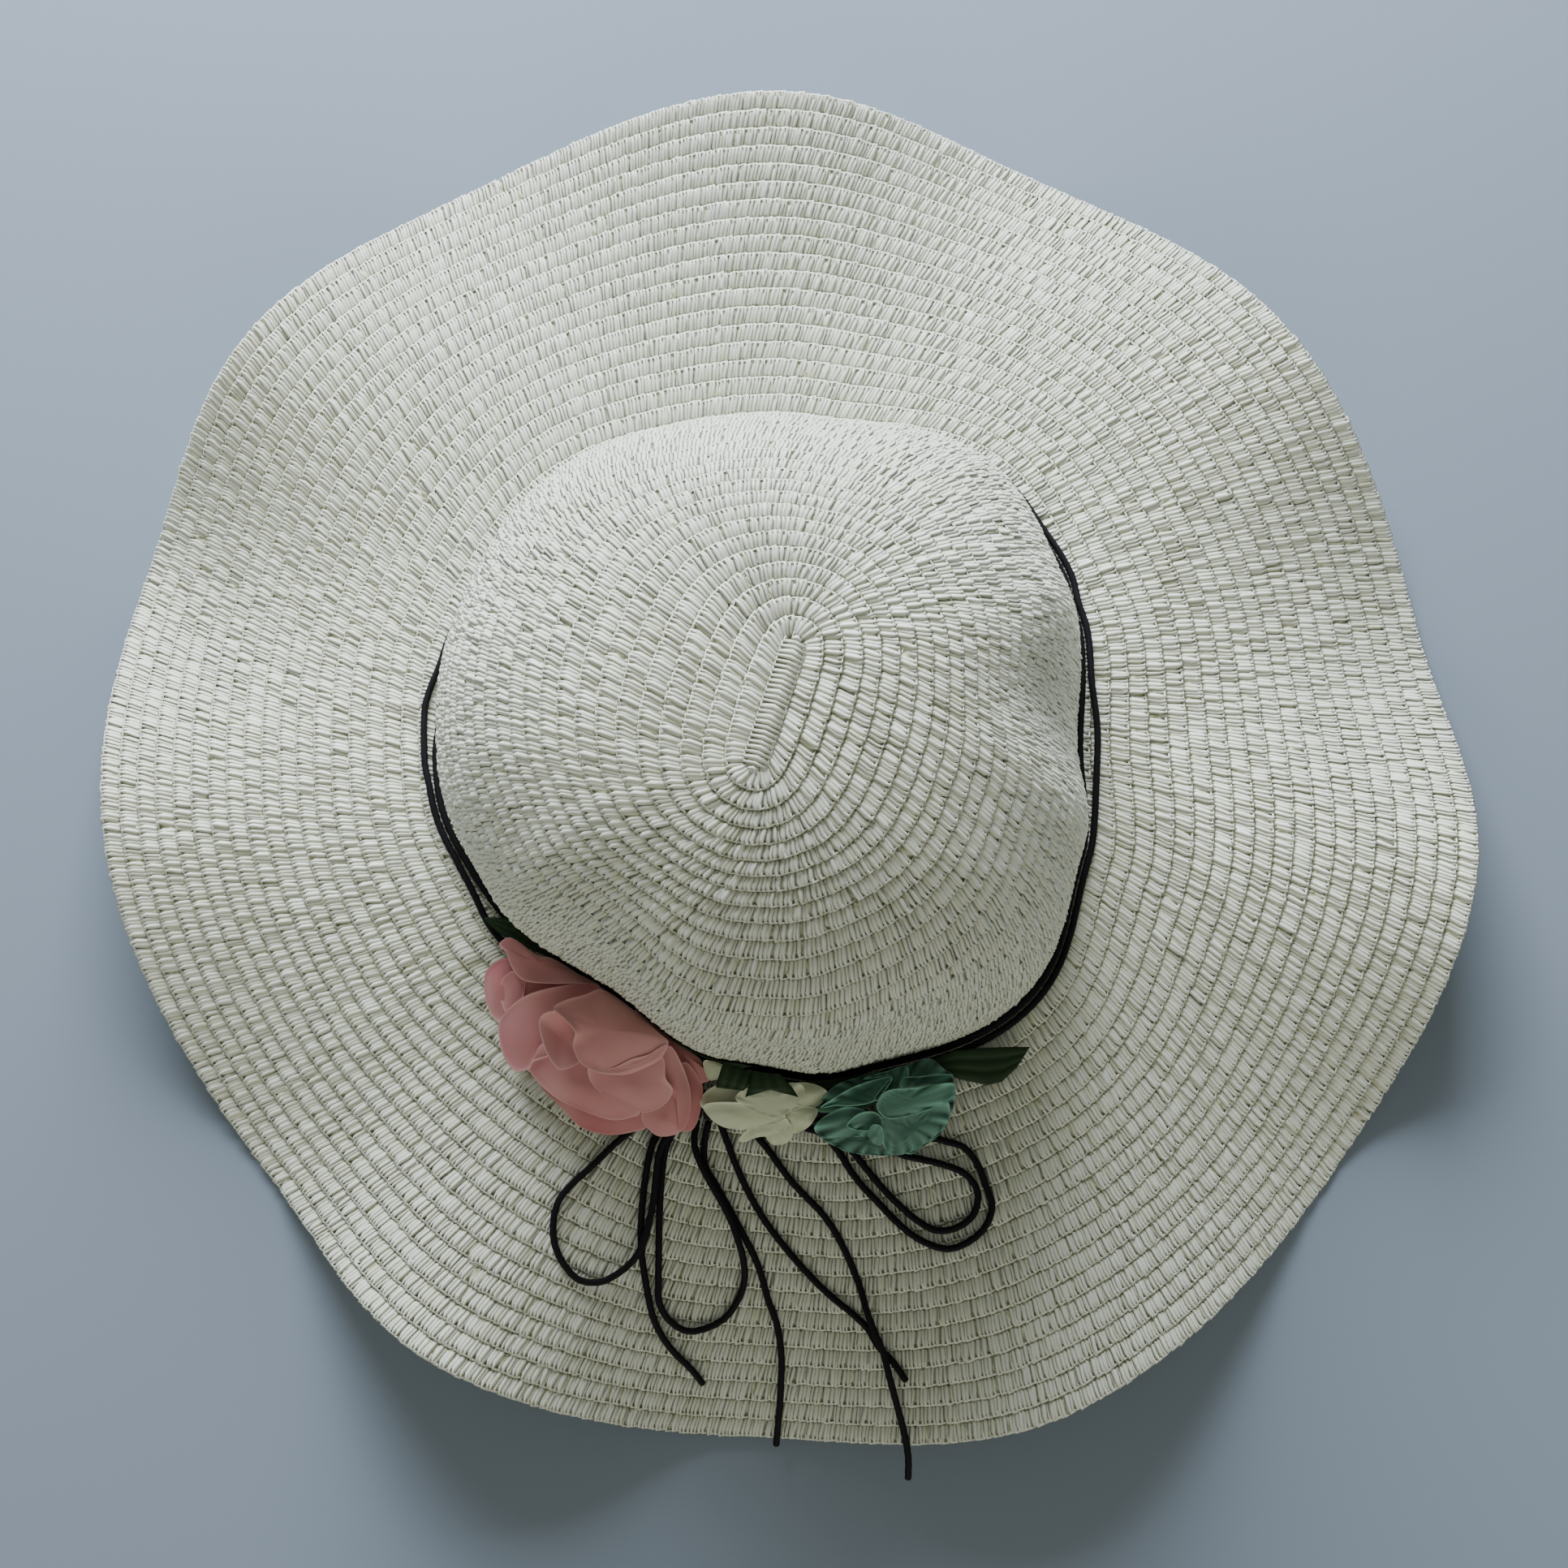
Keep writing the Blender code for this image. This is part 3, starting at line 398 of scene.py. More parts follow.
TEAL_PETALS = (
    (1.0, 0.5, 0.4, (
        (560, 490, 6), (620, 395, 7), (720, 345, 7), (860, 320, 6), (880, 400, 11),
        (780, 480, 12.5), (650, 500, 9),
    )),
    (1.5, 0.8, 0.4, (
        (575, 600, 5), (700, 560, 9), (850, 560, 10), (900, 640, 7), (882, 688, 5),
        (760, 684, 5), (670, 665, 5),
    )),
    (1.5, 0.8, 0.4, (
        (900, 620, 8), (1000, 520, 11), (1110, 400, 11), (1160, 370, 8), (1158, 470, 6),
        (1110, 580, 5), (1040, 640, 5), (960, 684, 5),
    )),
    (1.0, 0.3, 0.3, (
        (930, 300, 6), (1000, 268, 5), (1055, 262, 5), (1112, 308, 5.5), (1155, 342, 6.5),
        (1060, 352, 10), (960, 362, 11),
    )),
    (2.0, 1.0, 0.35, (
        (840, 520, 13), (1000, 480, 14), (1120, 440, 11.5), (1135, 530, 8), (1060, 615, 6.5),
        (960, 676, 6), (880, 684, 6), (842, 620, 9),
    )),
    (2.0, 1.0, 0.35, (
        (545, 570, 6), (590, 520, 7), (680, 478, 10), (760, 490, 13), (825, 530, 13),
        (835, 590, 10), (780, 604, 7), (680, 606, 6), (590, 612, 5),
    )),
    (-1.5, 0.8, 0.25, (
        (575, 480, 8), (630, 440, 10), (740, 380, 12), (880, 345, 13), (860, 400, 14.5),
        (800, 455, 14.5), (700, 472, 12), (640, 470, 10),
    )),
    (-2.0, 0.8, 0.2, (
        (760, 352, 9), (850, 322, 8), (945, 295, 8), (955, 350, 11), (890, 420, 14),
        (810, 448, 15), (855, 380, 13), (880, 340, 11),
    )),
    (-1.5, 0.8, 0.3, (
        (935, 350, 11), (1000, 345, 12), (1100, 335, 10.5), (1150, 340, 8), (1150, 390, 10),
        (1040, 385, 13), (930, 395, 14.5),
    )),
    (-1.5, 0.8, 0.2, (
        (690, 556, 9), (740, 508, 11.5), (800, 498, 13), (838, 520, 13), (840, 566, 11),
        (790, 580, 9.5), (730, 578, 8.5),
    )),
    (2.0, 0.8, 0.3, (
        (822, 460, 15.5), (870, 405, 15.5), (1000, 392, 14), (1150, 372, 10), (1156, 425, 9.5),
        (1090, 470, 11.5), (990, 508, 13), (880, 528, 14.5), (835, 505, 15.5),
    )),
    (1.0, 0.0, 0.1, (
        (786, 604, 8), (800, 556, 12), (842, 566, 13.5), (850, 630, 9.5), (818, 642, 8),
    )),
)

# Finish of a cloth: name, colour of its painted shade in folds, colour of its painted highlight at its
# rim, roughness, sheen
PINK_CLOTH = ("pink_chiffon", (0.50, 0.14, 0.15), (0.86, 0.46, 0.46), 0.75, 0.4)
WHITE_CLOTH = ("white_chiffon", (0.60, 0.64, 0.42), (0.94, 0.97, 0.80), 0.7, 0.3)
TEAL_CLOTH = ("teal_satin", (0.012, 0.05, 0.038), (0.26, 0.56, 0.43), 0.5, 0.2)
# For the leaves the two colours are the painted shade in the ribs' grooves and the painted highlight
# on their crests
LEAF_CLOTH = ("green_satin", (0.006, 0.020, 0.006), (0.026, 0.062, 0.022), 0.5, 0.05)
# Flowers: colour, part of the photograph, petals, pleats round the flower, depth of its folds, cloth
FLOWERS = (
    ("pink", PINK_PART, PINK_PETALS, 5, 1.0, PINK_CLOTH),
    ("white", TRIM_PART, WHITE_PETALS, 14, 1.3, WHITE_CLOTH),
    ("teal", TRIM_PART, TEAL_PETALS, 24, 2.2, TEAL_CLOTH),
)

# Leaves: piece, node, notch in the end in millimetres, then from the root to the end x and y of
# one side, x and y of the other, in pixels of the photograph, and height over the brim in
# millimetres
LEAVES = (
    ("leaf_left", "leaf_left", 0, (
        (688, 1172, 675, 1178, 3.6), (664, 1149, 650, 1168, 3.6), (639, 1129, 634, 1160, 3.7),
        (624, 1129, 616, 1151, 3.9), (611, 1131, 606, 1141, 4.0), (598, 1130, 597, 1132, 4.0),
    )),
    ("leaf_rounded", "leaf_front_left", 0, (
        (928, 1308, 905, 1320, 14), (905, 1295, 893, 1307, 14), (880, 1280, 876, 1291, 13),
        (858, 1267, 860, 1280, 12), (842, 1262, 845, 1279, 12), (832, 1262, 832, 1276, 12),
        (827, 1266, 827, 1272, 12),
    )),
    ("leaf_straight", "leaf_front_right", 0, (
        (930, 1322, 893, 1303, 14), (926, 1331, 889, 1315, 15), (920, 1339, 885, 1328, 15.5),
        (916, 1344, 882, 1340, 15.5),
    )),
    ("leaf_notched", "leaf_front_right", 2.2, (
        (960, 1322, 927, 1320, 15), (968, 1330, 924, 1332, 16), (977, 1341, 921, 1343, 16.5),
        (984, 1352, 918, 1352, 16.5),
    )),
    ("leaf_ribbon", "leaf_ribbon", 0, (
        (1077, 1321, 1078, 1326, 3.8), (1050, 1325, 1057, 1333, 4.0),
        (1020, 1329, 1040, 1343, 4.4), (992, 1331, 1020, 1352, 4.6),
    )),
    ("leaf_right", "leaf_right", 0, (
        (1148, 1304, 1170, 1324, 3.8), (1176, 1294, 1183, 1330, 4.2),
        (1211, 1291, 1216, 1337, 4.2), (1240, 1290, 1234, 1333, 4.0),
        (1269, 1290, 1253, 1315, 3.8),
    )),
)


def periodic(table, column, angle):
    """A table's column at angles in degrees: each stretch between two rows is half a cosine."""
    rows = np.array(table, float)
    turns = np.concatenate([rows[:, 0] - 360, rows[:, 0], rows[:, 0] + 360])
    values = np.tile(rows[:, column], 3)
    angle = np.mod(angle, 360)
    right = np.searchsorted(turns, angle, side="right")
    share = (angle - turns[right - 1]) / (turns[right] - turns[right - 1])
    ease = 0.5 - 0.5 * np.cos(np.pi * share)
    return values[right - 1] + (values[right] - values[right - 1]) * ease


def head_radius(angle):
    """Outside radius of the crown at the head line."""
    return HEAD_RADIUS * periodic(CROWN_OUTLINE, 1, angle)


def crown_radius(angle, rise):
    """Superellipse section times the outline, less the dents, each half a cosine both ways."""
    radius = (1 - rise**CROWN_ROUNDNESS) ** (1 / CROWN_ROUNDNESS)
    radius = radius * (1 + (periodic(CROWN_OUTLINE, 1, angle) - 1) * (1 - TOP_ROUNDING * rise))
    for middle, half_width, level, half_height, depth in CROWN_DENTS:
        across = np.abs((angle - middle + 180) % 360 - 180) / half_width
        upward = np.abs(rise - level) / half_height
        dent = np.cos(np.pi / 2 * np.minimum(across, 1)) ** 2
        radius = radius - depth * dent * np.cos(np.pi / 2 * np.minimum(upward, 1)) ** 2
    return HEAD_RADIUS * radius


def wall_radius(angle, height):
    """Radius of the crown's outer face at a height."""
    return crown_radius(angle, np.clip((height - HEAD_LINE) / CROWN_HEIGHT, 0, 1))


def crown_height(x, y):
    """Height of the crown's face over a point of the plan: halves the range of rise 26 times."""
    angle = np.degrees(np.arctan2(y, x))
    reach = np.hypot(x, y)
    low, high = np.zeros_like(reach), np.ones_like(reach)
    for _ in range(26):
        middle = (low + high) / 2
        inside = crown_radius(angle, middle) > reach
        low = np.where(inside, middle, low)
        high = np.where(inside, high, middle)
    return HEAD_LINE + CROWN_HEIGHT * low


def brim_limits(angle):
    """Distances of the brim's inner and outer edge from the axis."""
    return head_radius(angle) - STRAW, BRIM_RADIUS * periodic(BRIM_EDGE, 2, angle)


def brim_height(angle, share):
    """Height of the brim's upper face: a mean fall, and waves that grow towards the edge."""
    start = HEAD_LINE - GAP
    edge = STRAW + WAVE_HEIGHT * periodic(BRIM_EDGE, 1, angle)
    return start - BRIM_FALL * share + (edge - start + BRIM_FALL) * share**WAVE_GROWTH


def brim_under(x, y):
    """Height of the brim's upper face at a point of the plan. Past the edge it is the edge's."""
    angle = np.degrees(np.arctan2(y, x))
    inner, outer = brim_limits(angle)
    share = np.clip((np.hypot(x, y) - inner) / (outer - inner), 0, 1)
    return brim_height(angle, share)


def polar(reach, angle, height):
    """Points at a distance from the axis, an angle in degrees and a height."""
    turn = np.radians(angle)
    return np.stack(np.broadcast_arrays(reach * np.cos(turn), reach * np.sin(turn), height), -1)


def unit(vectors):
    """Vectors of length 1."""
    return vectors / np.maximum(np.linalg.norm(vectors, axis=-1, keepdims=True), 1e-12)


# Meshes


def grid_quads(rows, columns, join_rows=False, join_columns=False):
    """Corner numbers of the quads over a grid, whose last row or column may meet the first."""
    index = np.arange(rows * columns).reshape(rows, columns)
    if join_rows:
        index = np.vstack([index, index[:1]])
    if join_columns:
        index = np.hstack([index, index[:, :1]])
    corners = [index[:-1, :-1], index[:-1, 1:], index[1:, 1:], index[1:, :-1]]
    return np.stack(corners, -1).reshape(-1, 4)


def mesh_piece(name, points, faces, material, replaced):
    """An object in the row frame that replaces a solid, from points in hat coordinates and faces
    that all have as many corners."""
    mesh = bpy.data.meshes.new(name)
    points = points.reshape(-1, 3) + AXIS
    mesh.vertices.add(len(points))
    mesh.vertices.foreach_set("co", points.astype(np.float32).ravel())
    mesh.loops.add(faces.size)
    mesh.loops.foreach_set("vertex_index", faces.astype(np.int32).ravel())
    mesh.polygons.add(len(faces))
    starts = np.arange(0, faces.size, faces.shape[1], dtype=np.int32)
    mesh.polygons.foreach_set("loop_start", starts)
    mesh.update(calc_edges=True)
    mesh.shade_smooth()
    mesh.materials.append(material)
    piece = bpy.data.objects.new(name, mesh)
    bpy.context.scene.collection.objects.link(piece)
    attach(piece, "root")
    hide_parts(replaced)
    return piece


def add_shade(piece, values):
    """A number for every point of a mesh, under the name shade."""
    layer = piece.data.attributes.new("shade", "FLOAT", "POINT")
    layer.data.foreach_set("value", np.asarray(values, np.float32).ravel())


def add_uv(piece, quads, uv):
    """A UV map from one pair of values for every point."""
    layer = piece.data.uv_layers.new(name="weave")
    layer.data.foreach_set("uv", uv.reshape(-1, 2)[quads.ravel()].astype(np.float32).ravel())


# Materials


def new_material(name):
    """A Principled material, its node tree and its shader."""
    material = bpy.data.materials.new(name)
    material.use_nodes = True
    return material, material.node_tree, material.node_tree.nodes["Principled BSDF"]


def node(tree, kind, **values):
    """A node of this kind with its properties and, after in_ and a socket's name, the values of its
    inputs."""
    made = tree.nodes.new(kind)
    for key, value in values.items():
        if key.startswith("in_"):
            made.inputs[key[3:]].default_value = value
        else:
            setattr(made, key, value)
    return made


def new_group(name, inputs, outputs):
    """A shader node group, its input node and its output node. Inputs are given as name, kind and
    value or None, and outputs as name and kind."""
    group = bpy.data.node_groups.new(name, "ShaderNodeTree")
    for label, kind, value in inputs:
        socket = group.interface.new_socket(name=label, in_out="INPUT", socket_type=kind)
        if value is not None:
            socket.default_value = value
    for label, kind in outputs:
        group.interface.new_socket(name=label, in_out="OUTPUT", socket_type=kind)
    return group, group.nodes.new("NodeGroupInput"), group.nodes.new("NodeGroupOutput")


def make_fibre_group():
    """Long fine fibres: noise stretched along one way of the map, with a large faint stain."""
    group, given, put = new_group(
        "fibre",
        (
            ("Vector", "NodeSocketVector", None),
            ("Place", "NodeSocketVector", None),
            ("Stain", "NodeSocketFloat", 40.0),
        ),
        (("Fibre", "NodeSocketFloat"), ("Patch", "NodeSocketFloat")),
    )
    lines = node(group, "ShaderNodeTexNoise", noise_dimensions="3D", in_Scale=1.0, in_Detail=3.0)
    patch = node(group, "ShaderNodeTexNoise", noise_dimensions="3D", in_Detail=2.0)
    group.links.new(given.outputs["Vector"], lines.inputs["Vector"])
    group.links.new(given.outputs["Place"], patch.inputs["Vector"])
    group.links.new(given.outputs["Stain"], patch.inputs["Scale"])
    group.links.new(lines.outputs["Fac"], put.inputs["Fibre"])
    group.links.new(patch.outputs["Fac"], put.inputs["Patch"])
    return group


def mix_colour(tree, factor, first, second):
    """A Mix node of two colours, each a value or an output."""
    made = node(tree, "ShaderNodeMix", data_type="RGBA")
    for socket, value in ((made.inputs[0], factor), (made.inputs[6], first), (made.inputs[7], second)):
        if isinstance(value, bpy.types.NodeSocket):
            tree.links.new(value, socket)
        elif isinstance(value, (int, float)):
            socket.default_value = value
        else:
            socket.default_value = (*value, 1)
    return made.outputs[2]


def place_fibres(tree, fibres, finer):
    """The fibres of a material: over the piece's own map made finer along and across, with their
    stain over the piece's place."""
    weave = node(tree, "ShaderNodeUVMap", uv_map="weave")
    place = node(tree, "ShaderNodeTexCoord")
    stretch = node(tree, "ShaderNodeMapping", in_Scale=finer)
    grain = tree.nodes.new("ShaderNodeGroup")
    grain.node_tree = fibres
    tree.links.new(weave.outputs["UV"], stretch.inputs["Vector"])
    tree.links.new(stretch.outputs["Vector"], grain.inputs["Vector"])
    tree.links.new(place.outputs["Object"], grain.inputs["Place"])
    return grain


def dress(tree, shader, colour, relief, strength, depth, roughness):
    """A shader's colour and roughness, and a bump of this strength and depth from a relief."""
    tree.links.new(colour, shader.inputs["Base Color"])
    bump = node(tree, "ShaderNodeBump", in_Strength=strength, in_Distance=depth)
    tree.links.new(relief, bump.inputs["Height"])
    tree.links.new(bump.outputs["Normal"], shader.inputs["Normal"])
    shader.inputs["Roughness"].default_value = roughness


def make_straw(fibres):
    """Paper straw with fibres along it: pale on top, and painted shade in olive where a straw dives
    under the next row.
    """
    material, tree, shader = new_material("plaited_straw")
    shade = node(tree, "ShaderNodeAttribute", attribute_name="shade")
    grain = place_fibres(tree, fibres, STRAW_FIBRES)
    ramp = node(tree, "ShaderNodeValToRGB")
    stops = ramp.color_ramp.elements
    stops[0].color = (*STRAW_SHADED, 1)
    stops[1].color = (*STRAW_PALE, 1)
    stops.new(STRAW_MIDDLE_SHADE).color = (*STRAW_MIDDLE, 1)
    tree.links.new(shade.outputs["Fac"], ramp.inputs["Fac"])
    stained = mix_colour(tree, grain.outputs["Patch"], ramp.outputs["Color"], STRAW_STAIN)
    colour = mix_colour(tree, STAIN_SHARE, ramp.outputs["Color"], stained)
    dress(
        tree, shader, colour, grain.outputs["Fibre"], strength=0.7, depth=0.00015, roughness=0.42
    )
    return material


def make_straw_base():
    """The braid from below and in its gaps: slanted bands over its map, whose unit is a row one
    way and a bundle the other."""
    material, tree, shader = new_material("braid_underside")
    weave = node(tree, "ShaderNodeUVMap", uv_map="weave")
    turn = node(
        tree, "ShaderNodeMapping", in_Rotation=(0, 0, UNDERSIDE_SLANT), in_Scale=(2, 1, 1)
    )
    wave = node(
        tree, "ShaderNodeTexWave", wave_type="BANDS", bands_direction="X",
        in_Scale=UNDERSIDE_FINENESS, in_Distortion=1.2,
    )
    tree.links.new(weave.outputs["UV"], turn.inputs["Vector"])
    tree.links.new(turn.outputs["Vector"], wave.inputs["Vector"])
    colour = mix_colour(tree, wave.outputs["Fac"], UNDERSIDE_DEEP, UNDERSIDE_PALE)
    dress(tree, shader, colour, wave.outputs["Fac"], strength=0.8, depth=0.0004, roughness=0.55)
    return material


def make_cord_material(fibres):
    """Near-black cord with a faint violet cast and fine yarn across its twist."""
    material, tree, shader = new_material("dark_cord")
    grain = place_fibres(tree, fibres, CORD_FIBRES)
    colour = mix_colour(tree, grain.outputs["Fibre"], CORD_DEEP, CORD_PALE)
    dress(tree, shader, colour, grain.outputs["Fibre"], strength=0.5, depth=0.0001, roughness=0.7)
    shader.inputs["Specular IOR Level"].default_value = 0.2
    return material


def make_cloth(fibres, name, deep, pale, roughness, sheen):
    """Chiffon or satin with a fine plain weave: painted shade in folds, at the root and in a leaf's
    grooves, a painted highlight at the rim and on a leaf's rib crests.
    """
    material, tree, shader = new_material(name)
    shade = node(tree, "ShaderNodeAttribute", attribute_name="shade")
    grain = place_fibres(tree, fibres, CLOTH_FIBRES)
    colour = mix_colour(tree, shade.outputs["Fac"], deep, pale)
    dress(
        tree, shader, colour, grain.outputs["Fibre"], strength=0.25, depth=0.00008,
        roughness=roughness,
    )
    shader.inputs["Specular IOR Level"].default_value = 0.25
    shader.inputs["Sheen Weight"].default_value = sheen
    shader.inputs["Sheen Roughness"].default_value = 0.5
    return material


# Camera and cords


def make_camera():
    """Looks down on the hat from above its front, as the photograph does."""
    lens = bpy.data.cameras.new("camera")
    lens.sensor_width = SENSOR_WIDTH
    lens.lens = SENSOR_WIDTH * FOCAL_PIXELS / PHOTO_PIXELS
    camera = bpy.data.objects.new("camera", lens)
    camera.location = CAMERA_PLACE
    camera.rotation_euler = (CAMERA_TILT, 0, 0)
    bpy.context.scene.collection.objects.link(camera)
    bpy.context.scene.camera = camera


def ground(tree, x, y):
    """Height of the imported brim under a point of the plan. Past the edge, it sinks slowly."""
    outer = brim_limits(np.degrees(np.arctan2(y, x)))[1]
    reach = np.hypot(x, y)
    past = max(reach / (outer - GAP), 1)
    above = Vector((x / past + AXIS[0], y / past + AXIS[1], 1.0))
    hit = tree.ray_cast(above, Vector((0, 0, -1)))[0]
    return hit.z - AXIS[2] - CORD_DROOP * (reach - reach / past)


def lying_height(tree, x, y):
    """Height of the middle of a cord that lies at a point of the plan, as a ball rests there."""
    radius = CORD / 2
    heights = [ground(tree, x, y) + radius]
    for share in TOUCH_RINGS:
        for turn in np.arange(TOUCH_POINTS) * 2 * np.pi / TOUCH_POINTS:
            side_x = x + share * radius * np.cos(turn)
            side_y = y + share * radius * np.sin(turn)
            heights.append(ground(tree, side_x, side_y) + radius * np.sqrt(1 - share**2))
    return max(heights) + GAP


def laid_points(tree, rows):
    """Points of a cord on the brim, from rows of x, y and layer."""
    return np.array([(x, y, lying_height(tree, x, y) + layer * LAYER) for x, y, layer in rows])


def knot_middle():
    """The middle of the knot in the plan, off the crown's wall."""
    return polar(head_radius(KNOT_ANGLE) + KNOT_OUT, KNOT_ANGLE, 0)[:2]


def knot_end(angle, layer):
    """Where a cord ends beside the knot: x, y from the knot's middle, and its layer."""
    turn = np.radians(angle)
    across = (KNOT_LENGTH / 2 + 2 * GAP) * np.cos(turn)
    return across, (KNOT_WIDTH / 2 + 2 * GAP) * np.sin(turn), layer


def between_points(before, start, end, after, share):
    """Points at shares of the way from one point of a curve to the next, by the cubic of
    Catmull and Rom, which takes its slopes from the points before and after."""
    bend = 2 * before - 5 * start + 4 * end - after
    turn = 3 * (start - end) + after - before
    return start + ((end - before) * share + bend * share**2 + turn * share**3) / 2


def smooth_through(rows, step):
    """Rows at even steps along a smooth curve through the rows of a route."""
    rows = np.array(rows, float)
    wide = np.vstack([2 * rows[0] - rows[1], rows, 2 * rows[-1] - rows[-2]])
    share = np.linspace(0, 1, CURVE_PARTS, endpoint=False)[:, None]
    stretches = zip(wide, wide[1:], wide[2:], wide[3:])
    fine = np.vstack([*(between_points(*stretch, share) for stretch in stretches), rows[-1:]])
    run = np.append(0, np.cumsum(np.linalg.norm(np.diff(fine[:, :2], axis=0), axis=1)))
    stops = np.linspace(0, run[-1], round(run[-1] / step) + 1)
    return np.column_stack([np.interp(stops, run, column) for column in fine.T])


def evened(points, passes):
    """A path whose heights, so many times, have become a quarter of the height before, half of
    their own and a quarter of the next."""
    points = points.copy()
    for _ in range(passes):
        points[1:-1, 2] = (points[:-2, 2] + 2 * points[1:-1, 2] + points[2:, 2]) / 4
    return points


def cord_skin(points, closed):
    """Twisted cord round a path: the radius falls between the strands by twice the swell, as the
    cosine of the strands times the turn round the path less the turns that the twist has made. The
    two ends of an open cord close nearly to a point, in three rings."""
    if closed:
        along = np.roll(points, -1, 0) - np.roll(points, 1, 0)
    else:
        along = np.gradient(points, axis=0)
    along = unit(along)
    side = unit(np.cross(along, (0.0, 0.0, 1.0)))
    up = np.cross(side, along)
    run = np.append(0, np.cumsum(np.linalg.norm(np.diff(points, axis=0), axis=1)))
    turn = np.arange(CORD_SIDES) * 2 * np.pi / CORD_SIDES
    twist = CORD_STRANDS * (turn[None, :] - 2 * np.pi * run[:, None] / CORD_PITCH)
    radius = CORD / 2 * (1 - CORD_SWELL + CORD_SWELL * np.cos(twist))
    ring = np.cos(turn)[None, :, None] * side[:, None] + np.sin(turn)[None, :, None] * up[:, None]
    skin = points[:, None] + radius[..., None] * ring
    uv = np.stack(np.broadcast_arrays(run[:, None] / CORD, turn[None, :] / (2 * np.pi)), -1)
    if closed:
        return skin, uv

    def closing(end, outward, rings):
        share, out = np.array(rings).T[..., None, None]
        return points[end] + share * (skin[end] - points[end]) + outward * CORD * out

    first = closing(0, -along[0], CORD_END[::-1])
    last = closing(-1, along[-1], CORD_END)
    more = len(CORD_END)
    uv = np.concatenate([*[uv[:1]] * more, uv, *[uv[-1:]] * more])
    return np.concatenate([first, skin, last]), uv


def make_cord_piece(name, points, closed, material, replaced):
    """A cord's mesh in place of its solid."""
    skin, uv = cord_skin(points, closed)
    quads = grid_quads(*skin.shape[:2], join_rows=closed, join_columns=True)[:, ::-1]
    piece = mesh_piece(name, skin, quads, material, replaced)
    add_uv(piece, quads, uv)
    return piece


def make_bow(tree, material):
    """The four loops and four ends, each a cord along the part's own route."""
    x, y = knot_middle()
    for name, start, points, end, far_end in BOW:
        route = [knot_end(*start), *points]
        if end:
            route.append(knot_end(*end))
        rows = smooth_through(np.array(route) + (x, y, 0), LAYING_STEP)
        laid = laid_points(tree, rows)
        fine = evened(smooth_through(laid, CORD_POINTS), EVENING)
        piece = make_cord_piece(name + "_cord", fine, False, material, name)


def make_band(tree, material):
    """Two strands round the foot of the crown, each a closed twisted cord that is laid at even
    stops and straight between them."""
    angle = np.arange(BAND_STOPS) * 360 / BAND_STOPS
    foot = np.maximum(head_radius(angle), wall_radius(angle, HEAD_LINE + CORD))
    inner = foot + GAP + CORD * (0.5 + periodic(BAND_SLACK, 1, angle))
    outer = foot + 2 * GAP + CORD * (1.5 + periodic(BAND_SLACK, 2, angle))
    outer = np.maximum(outer, inner + CORD + GAP)
    for name, reach in (("band_inner", inner), ("band_outer", outer)):
        points = laid_points(tree, polar(reach, angle, 0))
        place = np.arange(BAND_POINTS) / BAND_POINTS * BAND_STOPS
        stops = np.arange(BAND_STOPS + 1)
        wide = np.vstack([points, points[:1]])
        fine = np.column_stack([np.interp(place, stops, column) for column in wide.T])
        make_cord_piece(name + "_cord", fine, True, material, name)


def make_knot(material):
    """The cord wound round the middle of the bow: an ellipse about the knot's length that moves
    along it, flattened towards the brim, and smaller towards both ends."""
    x, y = knot_middle()
    turn = np.linspace(0, KNOT_TURNS * 2 * np.pi, KNOT_POINTS)
    share = turn / turn[-1] * 2 - 1
    swell = np.sqrt(1 - KNOT_TAPER * share**2)
    half_width = (KNOT_WIDTH - CORD) / 2
    half_height = (KNOT_HEIGHT - CORD) / 2
    along = x + share * (KNOT_LENGTH - CORD) / 2
    across = y + half_width * swell * np.cos(turn)
    level = GAP + KNOT_HEIGHT / 2 + half_height * swell * np.sin(turn)
    points = np.stack([along, across, brim_under(along, across) + level], -1)
    make_cord_piece("bow_knot_cord", points, False, material, "bow_knot")


# Straws and sewn rows


def sheet_normals(points):
    """Unit normals of a grid that closes round each ring, from its neighbours' differences."""
    outward = np.gradient(points, axis=0)
    around = np.roll(points, -1, 1) - np.roll(points, 1, 1)
    return unit(np.cross(outward, around))


